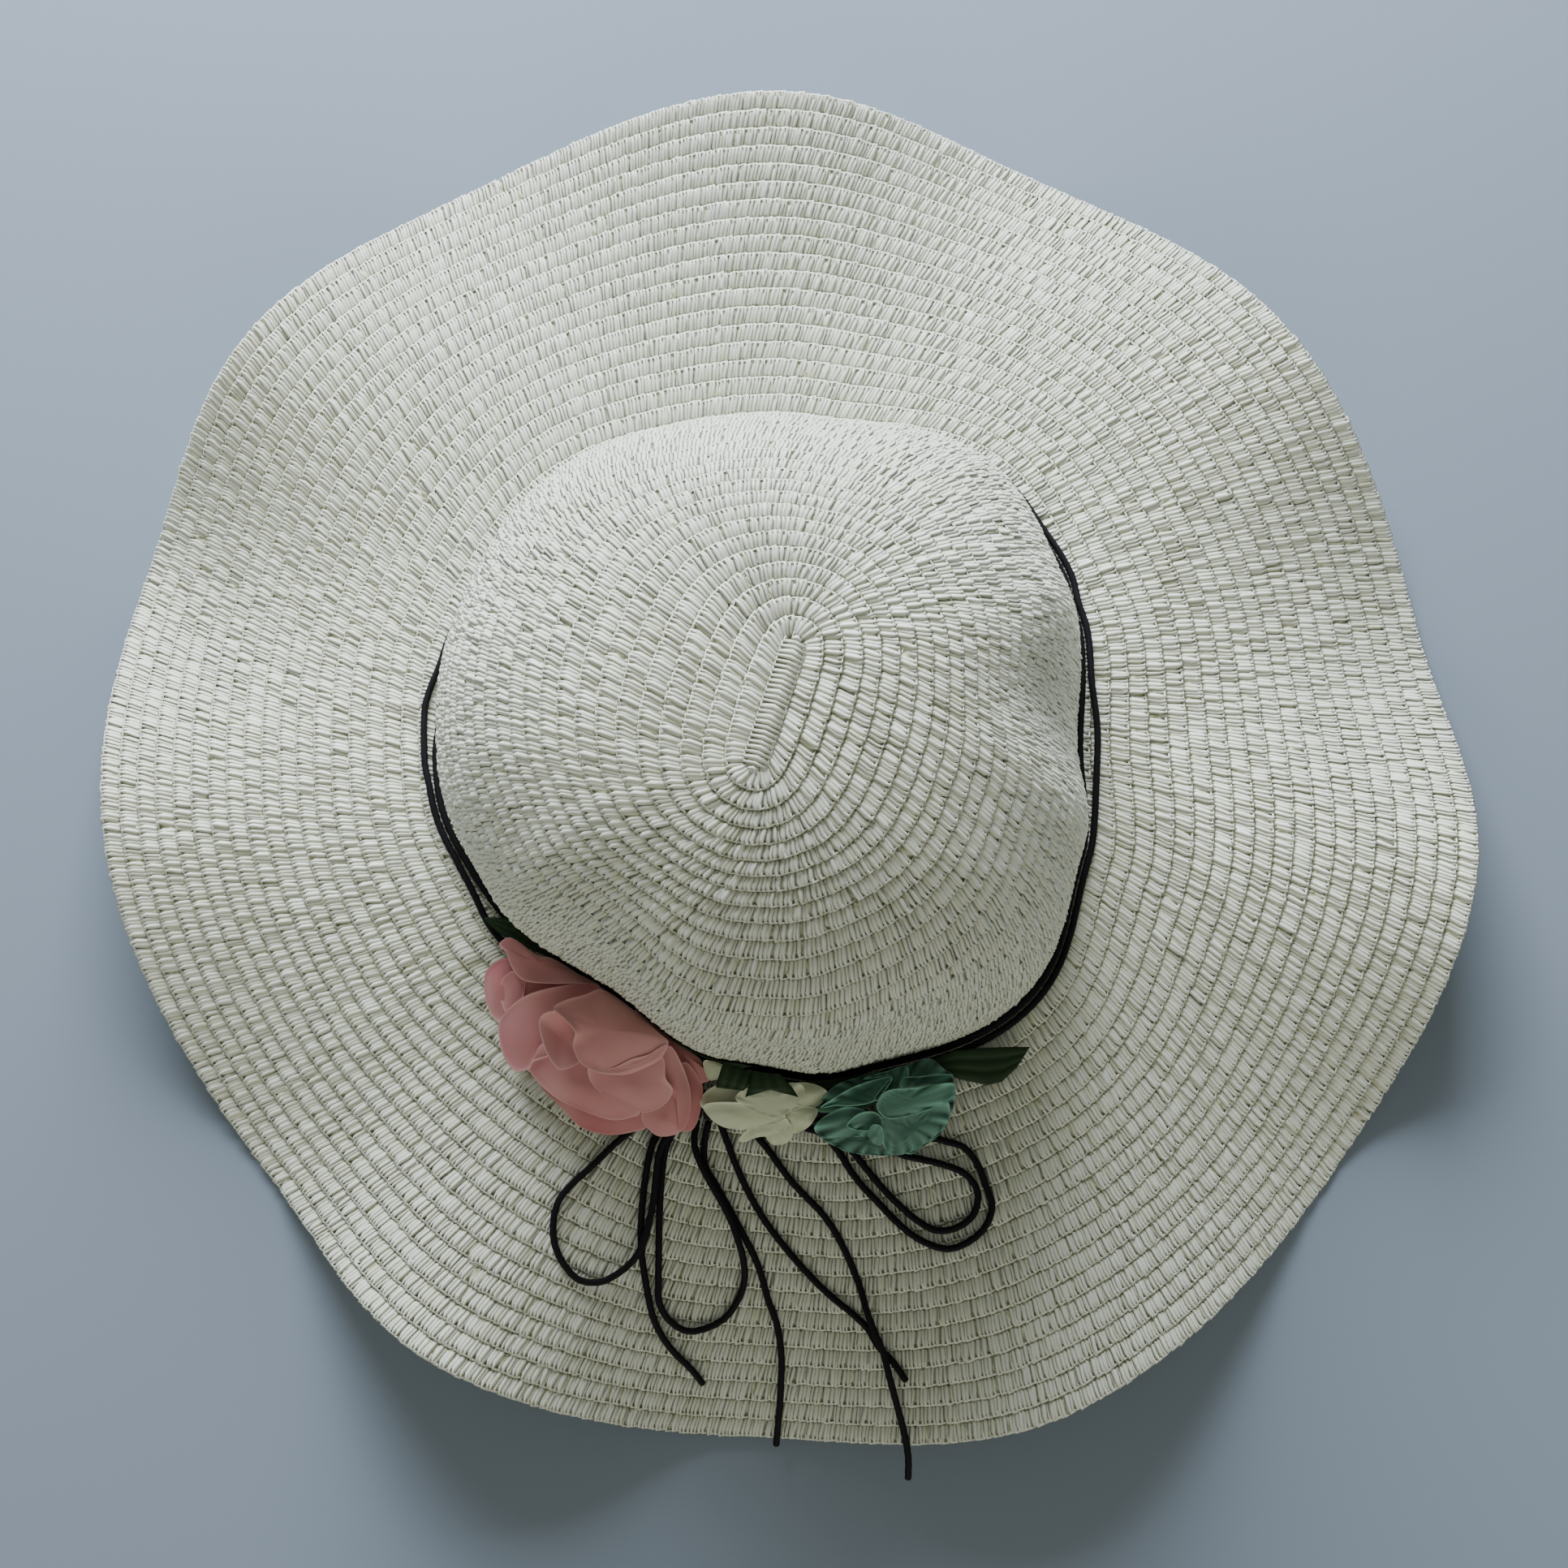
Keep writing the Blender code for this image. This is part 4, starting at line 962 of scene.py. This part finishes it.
def crown_sheet():
    """The crown's face over rings and turns, from the line under the strip at the top. A ring is
    the strip widened by its distance, which fades into the crown's own outline. A sheet is its
    points, their normals, the number of its first ring and its number of rows."""
    section = np.linspace(0, np.pi / 2, SECTION_POINTS)
    reach = HEAD_RADIUS * np.cos(section) ** (2 / CROWN_ROUNDNESS)
    level = CROWN_HEIGHT * np.sin(section) ** (2 / CROWN_ROUNDNESS)
    run = np.append(0, np.cumsum(np.hypot(np.diff(reach), np.diff(level))))
    rows = round((run[-1] - START_WIDTH / 2) / ROW)
    rings = round((rows - START_RING) * SHEET_STEPS) + 1
    ring = np.linspace(START_RING, rows, rings)[:, None]
    distance = np.where(
        ring < 0, START_WIDTH * (ring - START_RING),
        START_WIDTH / 2 + ring * (run[-1] - START_WIDTH / 2) / rows,
    )
    turn = np.arange(SHEET_COLUMNS)[None, :] / SHEET_COLUMNS
    lean = np.interp(run[-1] - distance, run, section)
    rise = np.sin(lean) ** (2 / CROWN_ROUNDNESS)
    round_plan = polar(crown_radius(turn * 360, rise), turn * 360, 0)[..., :2]
    way = np.stack([np.cos(2 * np.pi * turn), np.sin(2 * np.pi * turn)], -1)
    side = np.tanh(START_BEND * (way @ START_WAY)) / np.tanh(START_BEND)
    strip = START_PLACE + distance[..., None] * way + START_HALF * side[..., None] * START_WAY
    share = np.clip(distance / START_FADE, 0, 1)[..., None]
    plan = strip + (round_plan - strip) * share * share * (3 - 2 * share)
    height = np.broadcast_to(HEAD_LINE + CROWN_HEIGHT * rise, plan.shape[:2]).copy()
    near = distance[:, 0] < START_FADE
    height[near] = crown_height(plan[near, :, 0], plan[near, :, 1])
    points = np.concatenate([plan, height[..., None]], -1)
    normals = sheet_normals(points)
    normals[0] = normals[1]
    return points, normals, START_RING, rows


def brim_sheet():
    """The brim's upper face over rings and turns, as a sheet."""
    share = np.linspace(0, 1, BRIM_ROWS * SHEET_STEPS + 1)[:, None]
    angle = np.arange(SHEET_COLUMNS)[None, :] * 360 / SHEET_COLUMNS
    inner, outer = brim_limits(angle)
    points = polar(inner + (outer - inner) * share, angle, brim_height(angle, share))
    return points, sheet_normals(points), 0, BRIM_ROWS


def on_sheet(sheet, turn, ring, lift):
    """Points of a sheet at a share of a full turn and a ring, between its grid's points in
    proportion, lifted along the normal. Past its last ring they go straight on."""
    points, normals, first, rows = sheet
    column = np.mod(turn, 1) * SHEET_COLUMNS
    line = (np.clip(ring, first, rows) - first) * SHEET_STEPS
    left = np.floor(column).astype(int)
    below = np.minimum(np.floor(line).astype(int), len(points) - 2)
    part = (column - left)[..., None]
    level = (line - below)[..., None]
    left = left % SHEET_COLUMNS
    right = (left + 1) % SHEET_COLUMNS

    def between(grid):
        low = grid[below, left] * (1 - part) + grid[below, right] * part
        high = grid[below + 1, left] * (1 - part) + grid[below + 1, right] * part
        return low * (1 - level) + high * level

    past = (np.maximum(ring - rows, 0) * ROW)[..., None]
    outward = unit(points[-1] - points[-2])[left]
    return between(points) + past * outward + between(normals) * lift[..., None]


def ring_steps(sheet, ring):
    """Lengths between a ring's columns."""
    line = sheet[0][int((ring - sheet[2]) * SHEET_STEPS)]
    return np.linalg.norm(np.roll(line, -1, 0) - line, axis=1)


def straw_pattern():
    """One straw's path as run along the row, share across it and lift, then how far each point of
    a section stands off it in run and in share, square to the path."""
    across, along, lift, width = STRAW_PATH.T
    way = unit(np.stack([np.gradient(along), np.gradient(across * ROW)], -1))
    offset = STRAW_SECTION[:, 0] * width[:, None] / 2
    path = along[:, None], across[:, None], lift[:, None] - STRAW_SECTION[:, 1][None, :]
    return *path, offset * way[:, 1:], -offset * way[:, :1] / ROW


def row_of_straws(sheet, ring, chance):
    """The straws of one row, in bundles at even distances along its middle line, each a little out
    of place. A straw is the pattern moved along the row, made wider, longer and higher by chance.
    Its shade value is painted shade: it grows paler with its height over the wall and darker where
    it dives under the next row, times a random tone of its own."""
    steps = ring_steps(sheet, ring + 0.5)
    length = steps.sum()
    bundles = int(round(length / BUNDLE))
    number = np.arange(BUNDLE_STRAWS * bundles)
    start = (number // BUNDLE_STRAWS) * length / bundles + (number % BUNDLE_STRAWS) * BUNDLE_GAP
    strayed = chance.normal(0, BUNDLE_SPREAD, bundles)
    start = start + np.repeat(strayed, BUNDLE_STRAWS) + ring * ROW_SHIFT

    def odd(spread):
        return chance.normal(0, spread, len(start))[:, None, None]

    along, across, lift, aside, out = straw_pattern()
    stout = 1 + odd(WIDTH_SPREAD)
    run = along[None] * (1 + odd(LEAN_SPREAD)) + aside[None] * stout + odd(PLACE_SPREAD)
    share = across[None] + out[None] * stout + odd(ACROSS_SPREAD)
    lift = lift[None] + odd(LIFT_SPREAD) + STRAW_SECTION[:, 0] * odd(ROLL_SPREAD)
    known = np.append(0, np.cumsum(steps))
    place = np.mod(start[:, None, None] + run, length)
    turn = np.interp(place, known, np.linspace(0, 1, SHEET_COLUMNS + 1))
    points = on_sheet(sheet, turn, ring + share, lift)
    # Painted shade: the lower a straw lies, the darker it is, times its own random tone
    depth = np.clip(1 + lift / SHADE_DEPTH, 0, 1) ** SHADE_POWER
    shade = depth * (1 - np.abs(chance.normal(0, SHADE_SPREAD, len(start))))[:, None, None]
    return points, np.clip(shade, 0, 1)


def straw_quads(count):
    """Faces of many straws: three sides between stations, and a cap on each end."""
    stations, corners = len(STRAW_PATH), len(STRAW_SECTION)
    sides = grid_quads(stations, corners, join_columns=True)
    one = np.vstack([sides[:, [0, 1, 2]], sides[:, [0, 2, 3]]])
    last = (stations - 1) * corners
    one = np.vstack([one, [[2, 1, 0], [last, last + 1, last + 2]]])
    return (one[None] + np.arange(count)[:, None, None] * stations * corners).reshape(-1, 3)


def straws_piece(name, points, shade, material, replaced, chance, flip=False):
    """Many straws as one piece, each with its own part of the fibre map. Straws that run the other
    way round need their faces flipped."""
    faces = straw_quads(len(points))
    if flip:
        faces = faces[:, ::-1]
    piece = mesh_piece(name, points, faces, material, replaced)
    add_shade(piece, shade)
    along = np.linspace(0, 1, len(STRAW_PATH))[:, None]
    across = np.linspace(0, 1, len(STRAW_SECTION))[None, :]
    one = np.stack(np.broadcast_arrays(along, across), -1).reshape(-1, 2)
    odd = chance.uniform(0, MAP_SPREAD, (len(points), 1, 2))
    add_uv(piece, faces, (one[None] + odd).reshape(-1, 2))


def make_straws(name, sheet, rows, material, replaced, chance):
    """The straws of several rows as one piece."""
    made = [row_of_straws(sheet, ring, chance) for ring in rows]
    points = np.concatenate([row[0] for row in made])
    shade = np.concatenate([row[1] for row in made])
    straws_piece(name, points, shade, material, replaced, chance)


def make_base(name, sheet, columns, material, replaced):
    """The sewn rows under the straws as a closed wall: its upper side rises across each row, and
    its lower side, a wall's thickness below the face, has a step at each row."""
    first, rows = sheet[2:]
    row = np.arange(rows)[:, None]
    share, rise = np.array(BASE_PROFILE).T
    upper = np.concatenate([[first], (row + share).ravel(), [rows]])
    upper_lift = np.concatenate([[BASE_EDGE], np.tile(rise, rows), [BASE_EDGE]])
    lower = np.append((row[::-1] + np.array([1 - BASE_TURN, BASE_TURN])).ravel(), first)
    lower_lift = np.append(np.tile([-STRAW, BASE_STEP - STRAW], rows), -STRAW)
    ring = np.concatenate([upper, lower])
    lift = np.concatenate([upper_lift, lower_lift])
    turn = np.arange(columns) / columns
    points = on_sheet(sheet, *np.broadcast_arrays(turn[None, :], ring[:, None], lift[:, None]))
    quads = grid_quads(*points.shape[:2], join_rows=True, join_columns=True)
    piece = mesh_piece(name, points, quads, material, replaced)
    middle = (ring + np.roll(ring, -1)) / 2
    of_row = np.clip(np.floor(middle), 0, rows - 1).astype(int)
    count = np.array([round(ring_steps(sheet, k + 0.5).sum() / BUNDLE) for k in range(rows)])
    begin = count[of_row][:, None] * turn[None, :]
    end = count[of_row][:, None] * (turn + 1 / columns)[None, :]
    here = np.broadcast_to(ring[:, None], begin.shape)
    there = np.broadcast_to(np.roll(ring, -1)[:, None], begin.shape)
    corners = ((begin, here), (end, here), (end, there), (begin, there))
    uv = np.stack([np.stack(corner, -1) for corner in corners], -2)
    layer = piece.data.uv_layers.new(name="weave")
    layer.data.foreach_set("uv", uv.astype(np.float32).ravel())


def make_start(material, chance):
    """The strip at the crown's top: straws across it, shorter towards its round ends as the
    half-chord of a circle, that turn back along both of its edges."""
    half = START_WIDTH / 2
    reach = START_HALF + half * START_FILL
    count = BUNDLE_STRAWS * int(2 * reach / BUNDLE)
    middle = np.linspace(-reach, reach, count)
    past = np.maximum(np.abs(middle) - START_HALF, 0) / half
    side = np.sqrt(np.clip(1 - past**2, START_SHORTEST, 1))[:, None, None]
    across, along, lift, width = START_PATH.T
    way = unit(np.stack([np.gradient(along), np.gradient(across * half)], -1))
    offset = STRAW_SECTION[:, 0] * width[:, None] / 2
    slant = 1 + chance.normal(0, START_LEAN_SPREAD, count)[:, None, None]
    run = middle[:, None, None] + (along[:, None] + offset * way[:, 1:])[None] * slant
    over = (across[:, None] * half - offset * way[:, :1])[None] * side
    right = np.array([START_WAY[1], -START_WAY[0]])
    plan = START_PLACE + run[..., None] * START_WAY + over[..., None] * right
    odd = chance.normal(0, START_LIFT_SPREAD, count)[:, None, None]
    level = lift[:, None] - STRAW_SECTION[:, 1] + odd
    height = crown_height(plan[..., 0], plan[..., 1]) + level
    points = np.concatenate([plan, height[..., None]], -1)
    shade = np.full(points.shape[:3], START_SHADE)
    straws_piece("braid_start", points, shade, material, "crown", chance, flip=True)


# Flowers and leaves


def off_the_wall(x, y, height, distance):
    """Moves points of the plan outwards, so that they stay at a distance from the crown's wall:
    those near it most, those far from it hardly."""
    angle = np.degrees(np.arctan2(y, x))
    reach = np.hypot(x, y)
    wall = wall_radius(angle, brim_under(x, y) + height)
    clear = distance + distance * np.logaddexp(0, (reach - wall - distance) / distance)
    return x / reach * (wall + clear), y / reach * (wall + clear)


def seen_at(x, y, level):
    """Places in the plan that show at x, y of the photograph and stand at a height over the brim:
    the camera's ray through the pixel meets that height, found in six steps."""
    right = (x - PHOTO_PIXELS / 2) / FOCAL_PIXELS
    up = (PHOTO_PIXELS / 2 - y) / FOCAL_PIXELS
    forward = np.cos(CAMERA_TILT) * up + np.sin(CAMERA_TILT)
    down = np.cos(CAMERA_TILT) - np.sin(CAMERA_TILT) * up
    eye = np.array(CAMERA_PLACE) - AXIS
    height = level + HEAD_LINE
    for _ in range(6):
        reach = (eye[2] - height) / down
        plan_x, plan_y = eye[0] + reach * right, eye[1] + reach * forward
        height = brim_under(plan_x, plan_y) + level
    return plan_x, plan_y


def seen_in(part, points, level):
    """Places in the plan that show at x, y of an enlarged part of the photograph."""
    left, top, scale = part
    return seen_at(left + points[..., 0] / scale, top + points[..., 1] / scale, level)


def closed_curve(points, parts):
    """A smooth closed curve, each stretch between two of its points in so many parts."""
    share = (np.arange(parts) / parts)[None, :, None]
    stretches = (np.roll(points, k, 0)[:, None] for k in (1, 0, -1, -2))
    return between_points(*stretches, share).reshape(-1, points.shape[1])


def thicken(piece, thickness):
    """Gives a piece of cloth its thickness, half to each side."""
    wall = piece.modifiers.new("cloth", "SOLIDIFY")
    wall.thickness = thickness
    wall.offset = 0


def petal_surface(part, row, middle, pleats, fold, number):
    """One petal, from its middle to its edge. At a share of the way out its height goes from the
    edge's mean plus the bulge to the edge's own by the square of the share, and its rim turns up
    by the square of the way through the last fifth. Pleats run out from the flower's middle as
    spokes: a sine round that middle, with half as much of one 1.6 times as fine. Each petal stands
    a little over the one before it. Its shade value is painted light and shade: a sum over its
    height, its way out, the sixth power of its rim and its pleats, less its nearness to the
    flower's middle, so that low parts, the root, the pleats' valleys and the middle are darker and
    the rim has a painted highlight."""
    bulge, rim_rise, ripple, points = row
    edge = closed_curve(np.array(points, float), PETAL_PARTS)
    level = edge[:, 2] / 1000 + PETAL_STEP * fold * number
    x, y = seen_in(part, edge, level)
    share = PETAL_RINGS[:, None]
    x = x.mean() + (x - x.mean())[None, :] * share
    y = y.mean() + (y - y.mean())[None, :] * share
    rim = np.clip((share - (1 - PETAL_RIM)) / PETAL_RIM, 0, 1)
    rise = level.mean() + bulge / 1000
    level = rise + (level[None, :] - rise) * share**2 + fold * rim_rise / 2000 * rim**2
    spoke = np.arctan2(y - middle[1], x - middle[0])
    out = np.clip(np.hypot(x - middle[0], y - middle[1]) / PLEAT_REACH, 0, PLEAT_MOST)
    waves = np.sin(pleats * spoke + ODD_WAVE * number)
    waves = waves + 0.5 * np.sin(1.6 * pleats * spoke + number)
    level = level + fold * ripple / 1000 * waves * out * share
    x, y = off_the_wall(x, y, level, PETAL_CLEARANCE)
    level = np.maximum(level, CORD + 4 * GAP)
    points = np.stack([x, y, brim_under(x, y) + level], -1)
    # Painted light and shade: low petals, the root, the flower's middle and the pleats' valleys
    # darker; rims and pleats' crests lighter
    high = np.clip((level - SHADE_LOW) / SHADE_RANGE, 0, 1)
    shade = PETAL_SHADE + HEIGHT_SHADE * high + OUTWARD_SHADE * share + RIM_HIGHLIGHT * rim**6
    shade = shade - MIDDLE_SHADE * fold * (1 - np.minimum(out, 1))
    shade = shade + PLEAT_SHADE * fold * waves * out * share
    return points, np.clip(shade, 0, 1), np.stack([x, y], -1) * CLOTH_MAP


def make_flower(colour, part, petals, pleats, fold, material):
    """All the petals of a flower as one piece of thin cloth."""
    edges = np.concatenate([np.array(row[3], float) for row in petals])
    middle = seen_in(part, edges.mean(0), np.array(FLOWER_MIDDLE))
    all_points, all_faces, all_shades, all_uv = [], [], [], []
    count = 0
    for number, row in enumerate(petals):
        points, shade, uv = petal_surface(part, row, middle, pleats, fold, number)
        rings, sides = points.shape[:2]
        quads = grid_quads(rings, sides, join_columns=True)
        inner = np.arange(sides)
        fan = np.stack([inner, np.roll(inner, -1), np.full(sides, rings * sides)], -1)
        faces = np.vstack([quads[:, [0, 2, 1]], quads[:, [0, 3, 2]], fan])
        all_points.append(np.vstack([points.reshape(-1, 3), points[0].mean(0)[None]]))
        all_shades.append(np.append(shade, shade[0].mean()))
        all_uv.append(np.vstack([uv.reshape(-1, 2), uv[0].mean(0)[None]]))
        all_faces.append(faces + count)
        count += rings * sides + 1
    faces = np.vstack(all_faces)
    solid = "flower_" + colour
    points = np.vstack(all_points)
    piece = mesh_piece(solid + "_cloth", points, faces, material, solid)
    add_shade(piece, np.concatenate(all_shades))
    add_uv(piece, faces, np.vstack(all_uv))
    thicken(piece, PETAL_THICKNESS)


def make_leaf(row, material):
    """A strip of satin between two sides, with ribs along it as a cosine across, a sine along it,
    and a notch that draws back the middle of its end. Its shade value paints a highlight on the
    ribs' crests and shade in their grooves."""
    name, replaced, notch, stations = row
    rows = np.array(stations, float)
    level = rows[:, 4] / 1000
    one_x, one_y = seen_at(rows[:, 0], rows[:, 1], level)
    other_x, other_y = seen_at(rows[:, 2], rows[:, 3], level)
    known = np.arange(len(rows))
    along = np.linspace(0, len(rows) - 1, LEAF_PARTS * (len(rows) - 1) + 1)
    columns = [np.interp(along, known, c) for c in (one_x, one_y, other_x, other_y, level)]
    one_x, one_y, other_x, other_y, level = (column[:, None] for column in columns)
    across = np.linspace(-1, 1, LEAF_COLUMNS)[None, :]
    share = (across + 1) / 2
    x = one_x + (other_x - one_x) * share
    y = one_y + (other_y - one_y) * share
    end = np.clip(along[:, None] - known[-2], 0, 1) * (1 - np.abs(across)) * notch / 1000
    middle = LEAF_COLUMNS // 2
    way = unit(np.array([x[-1, middle] - x[0, middle], y[-1, middle] - y[0, middle]]))
    x, y = x - way[0] * end, y - way[1] * end
    width = np.hypot(other_x - one_x, other_y - one_y)
    rib = np.cos(LEAF_RIBS * np.pi * across)
    wave = np.sin(ODD_WAVE * along)[:, None]
    level = level + LEAF_RIB * width * rib + LEAF_WAVE * wave
    x, y = off_the_wall(x, y, level, LEAF_CLEARANCE)
    points = np.stack([x, y, brim_under(x, y) + level], -1)
    quads = grid_quads(*x.shape)
    piece = mesh_piece(name + "_satin", points, quads, material, replaced)
    # Painted light and shade: the ribs' crests lighter, their grooves darker
    add_shade(piece, np.broadcast_to(LEAF_SHADE + RIB_SHADE * rib, x.shape))
    add_uv(piece, quads, np.stack([x, y], -1) * CLOTH_MAP)
    thicken(piece, LEAF_THICKNESS)


# Room


def make_room():
    """A blue-grey floor, a wide soft light from the back, a weak fill and a faint light all round."""
    material, _, shader = new_material("floor")
    shader.inputs["Base Color"].default_value = (*FLOOR_COLOUR, 1)
    shader.inputs["Roughness"].default_value = FLOOR_ROUGHNESS
    mesh = bpy.data.meshes.new("floor")
    corners = [(FLOOR_HALF * x, FLOOR_HALF * y, 0) for x, y in ((-1, -1), (1, -1), (1, 1), (-1, 1))]
    mesh.from_pydata(corners, [], [(0, 1, 2, 3)])
    mesh.materials.append(material)
    floor = bpy.data.objects.new("floor", mesh)
    bpy.context.scene.collection.objects.link(floor)
    for name, place, size, power, tint in LIGHTS:
        data = bpy.data.lights.new(name, "AREA")
        data.shape = "SQUARE"
        data.size = size
        data.energy = power
        data.color = tint
        light = bpy.data.objects.new(name, data)
        light.location = place
        light.rotation_euler = (-Vector(place)).to_track_quat("-Z", "Y").to_euler()
        bpy.context.scene.collection.objects.link(light)
    world = bpy.data.worlds.new("room")
    world.use_nodes = True
    background = world.node_tree.nodes["Background"]
    background.inputs["Color"].default_value = (*ROOM_COLOUR, 1)
    background.inputs["Strength"].default_value = ROOM_STRENGTH
    bpy.context.scene.world = world


def main():
    """Makes the camera, the cords, the braid, the flowers with their leaves and the room."""
    make_camera()
    fibres = make_fibre_group()
    cord = make_cord_material(fibres)
    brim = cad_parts["brim"]
    tree = BVHTree.FromObject(brim, bpy.context.evaluated_depsgraph_get())
    make_bow(tree, cord)
    make_band(tree, cord)
    make_knot(cord)
    straw = make_straw(fibres)
    base = make_straw_base()
    chance = np.random.default_rng(7)
    crown = crown_sheet()
    rim = brim_sheet()
    make_base("crown_base", crown, CROWN_BASE_COLUMNS, base, "crown")
    make_base("brim_base", rim, BRIM_BASE_COLUMNS, base, "brim")
    rows = crown[3]
    top_rows = rows * 2 // 3
    make_straws("crown_straws_top", crown, range(top_rows), straw, "crown", chance)
    make_straws("crown_straws_wall", crown, range(top_rows, rows), straw, "crown", chance)
    make_start(straw, chance)
    for place, first, end in BRIM_PIECES:
        make_straws("brim_straws_" + place, rim, range(first, end), straw, "brim", chance)
    for colour, part, petals, pleats, fold, cloth in FLOWERS:
        make_flower(colour, part, petals, pleats, fold, make_cloth(fibres, *cloth))
    leaf = make_cloth(fibres, *LEAF_CLOTH)
    for row in LEAVES:
        make_leaf(row, leaf)
    make_room()


main()
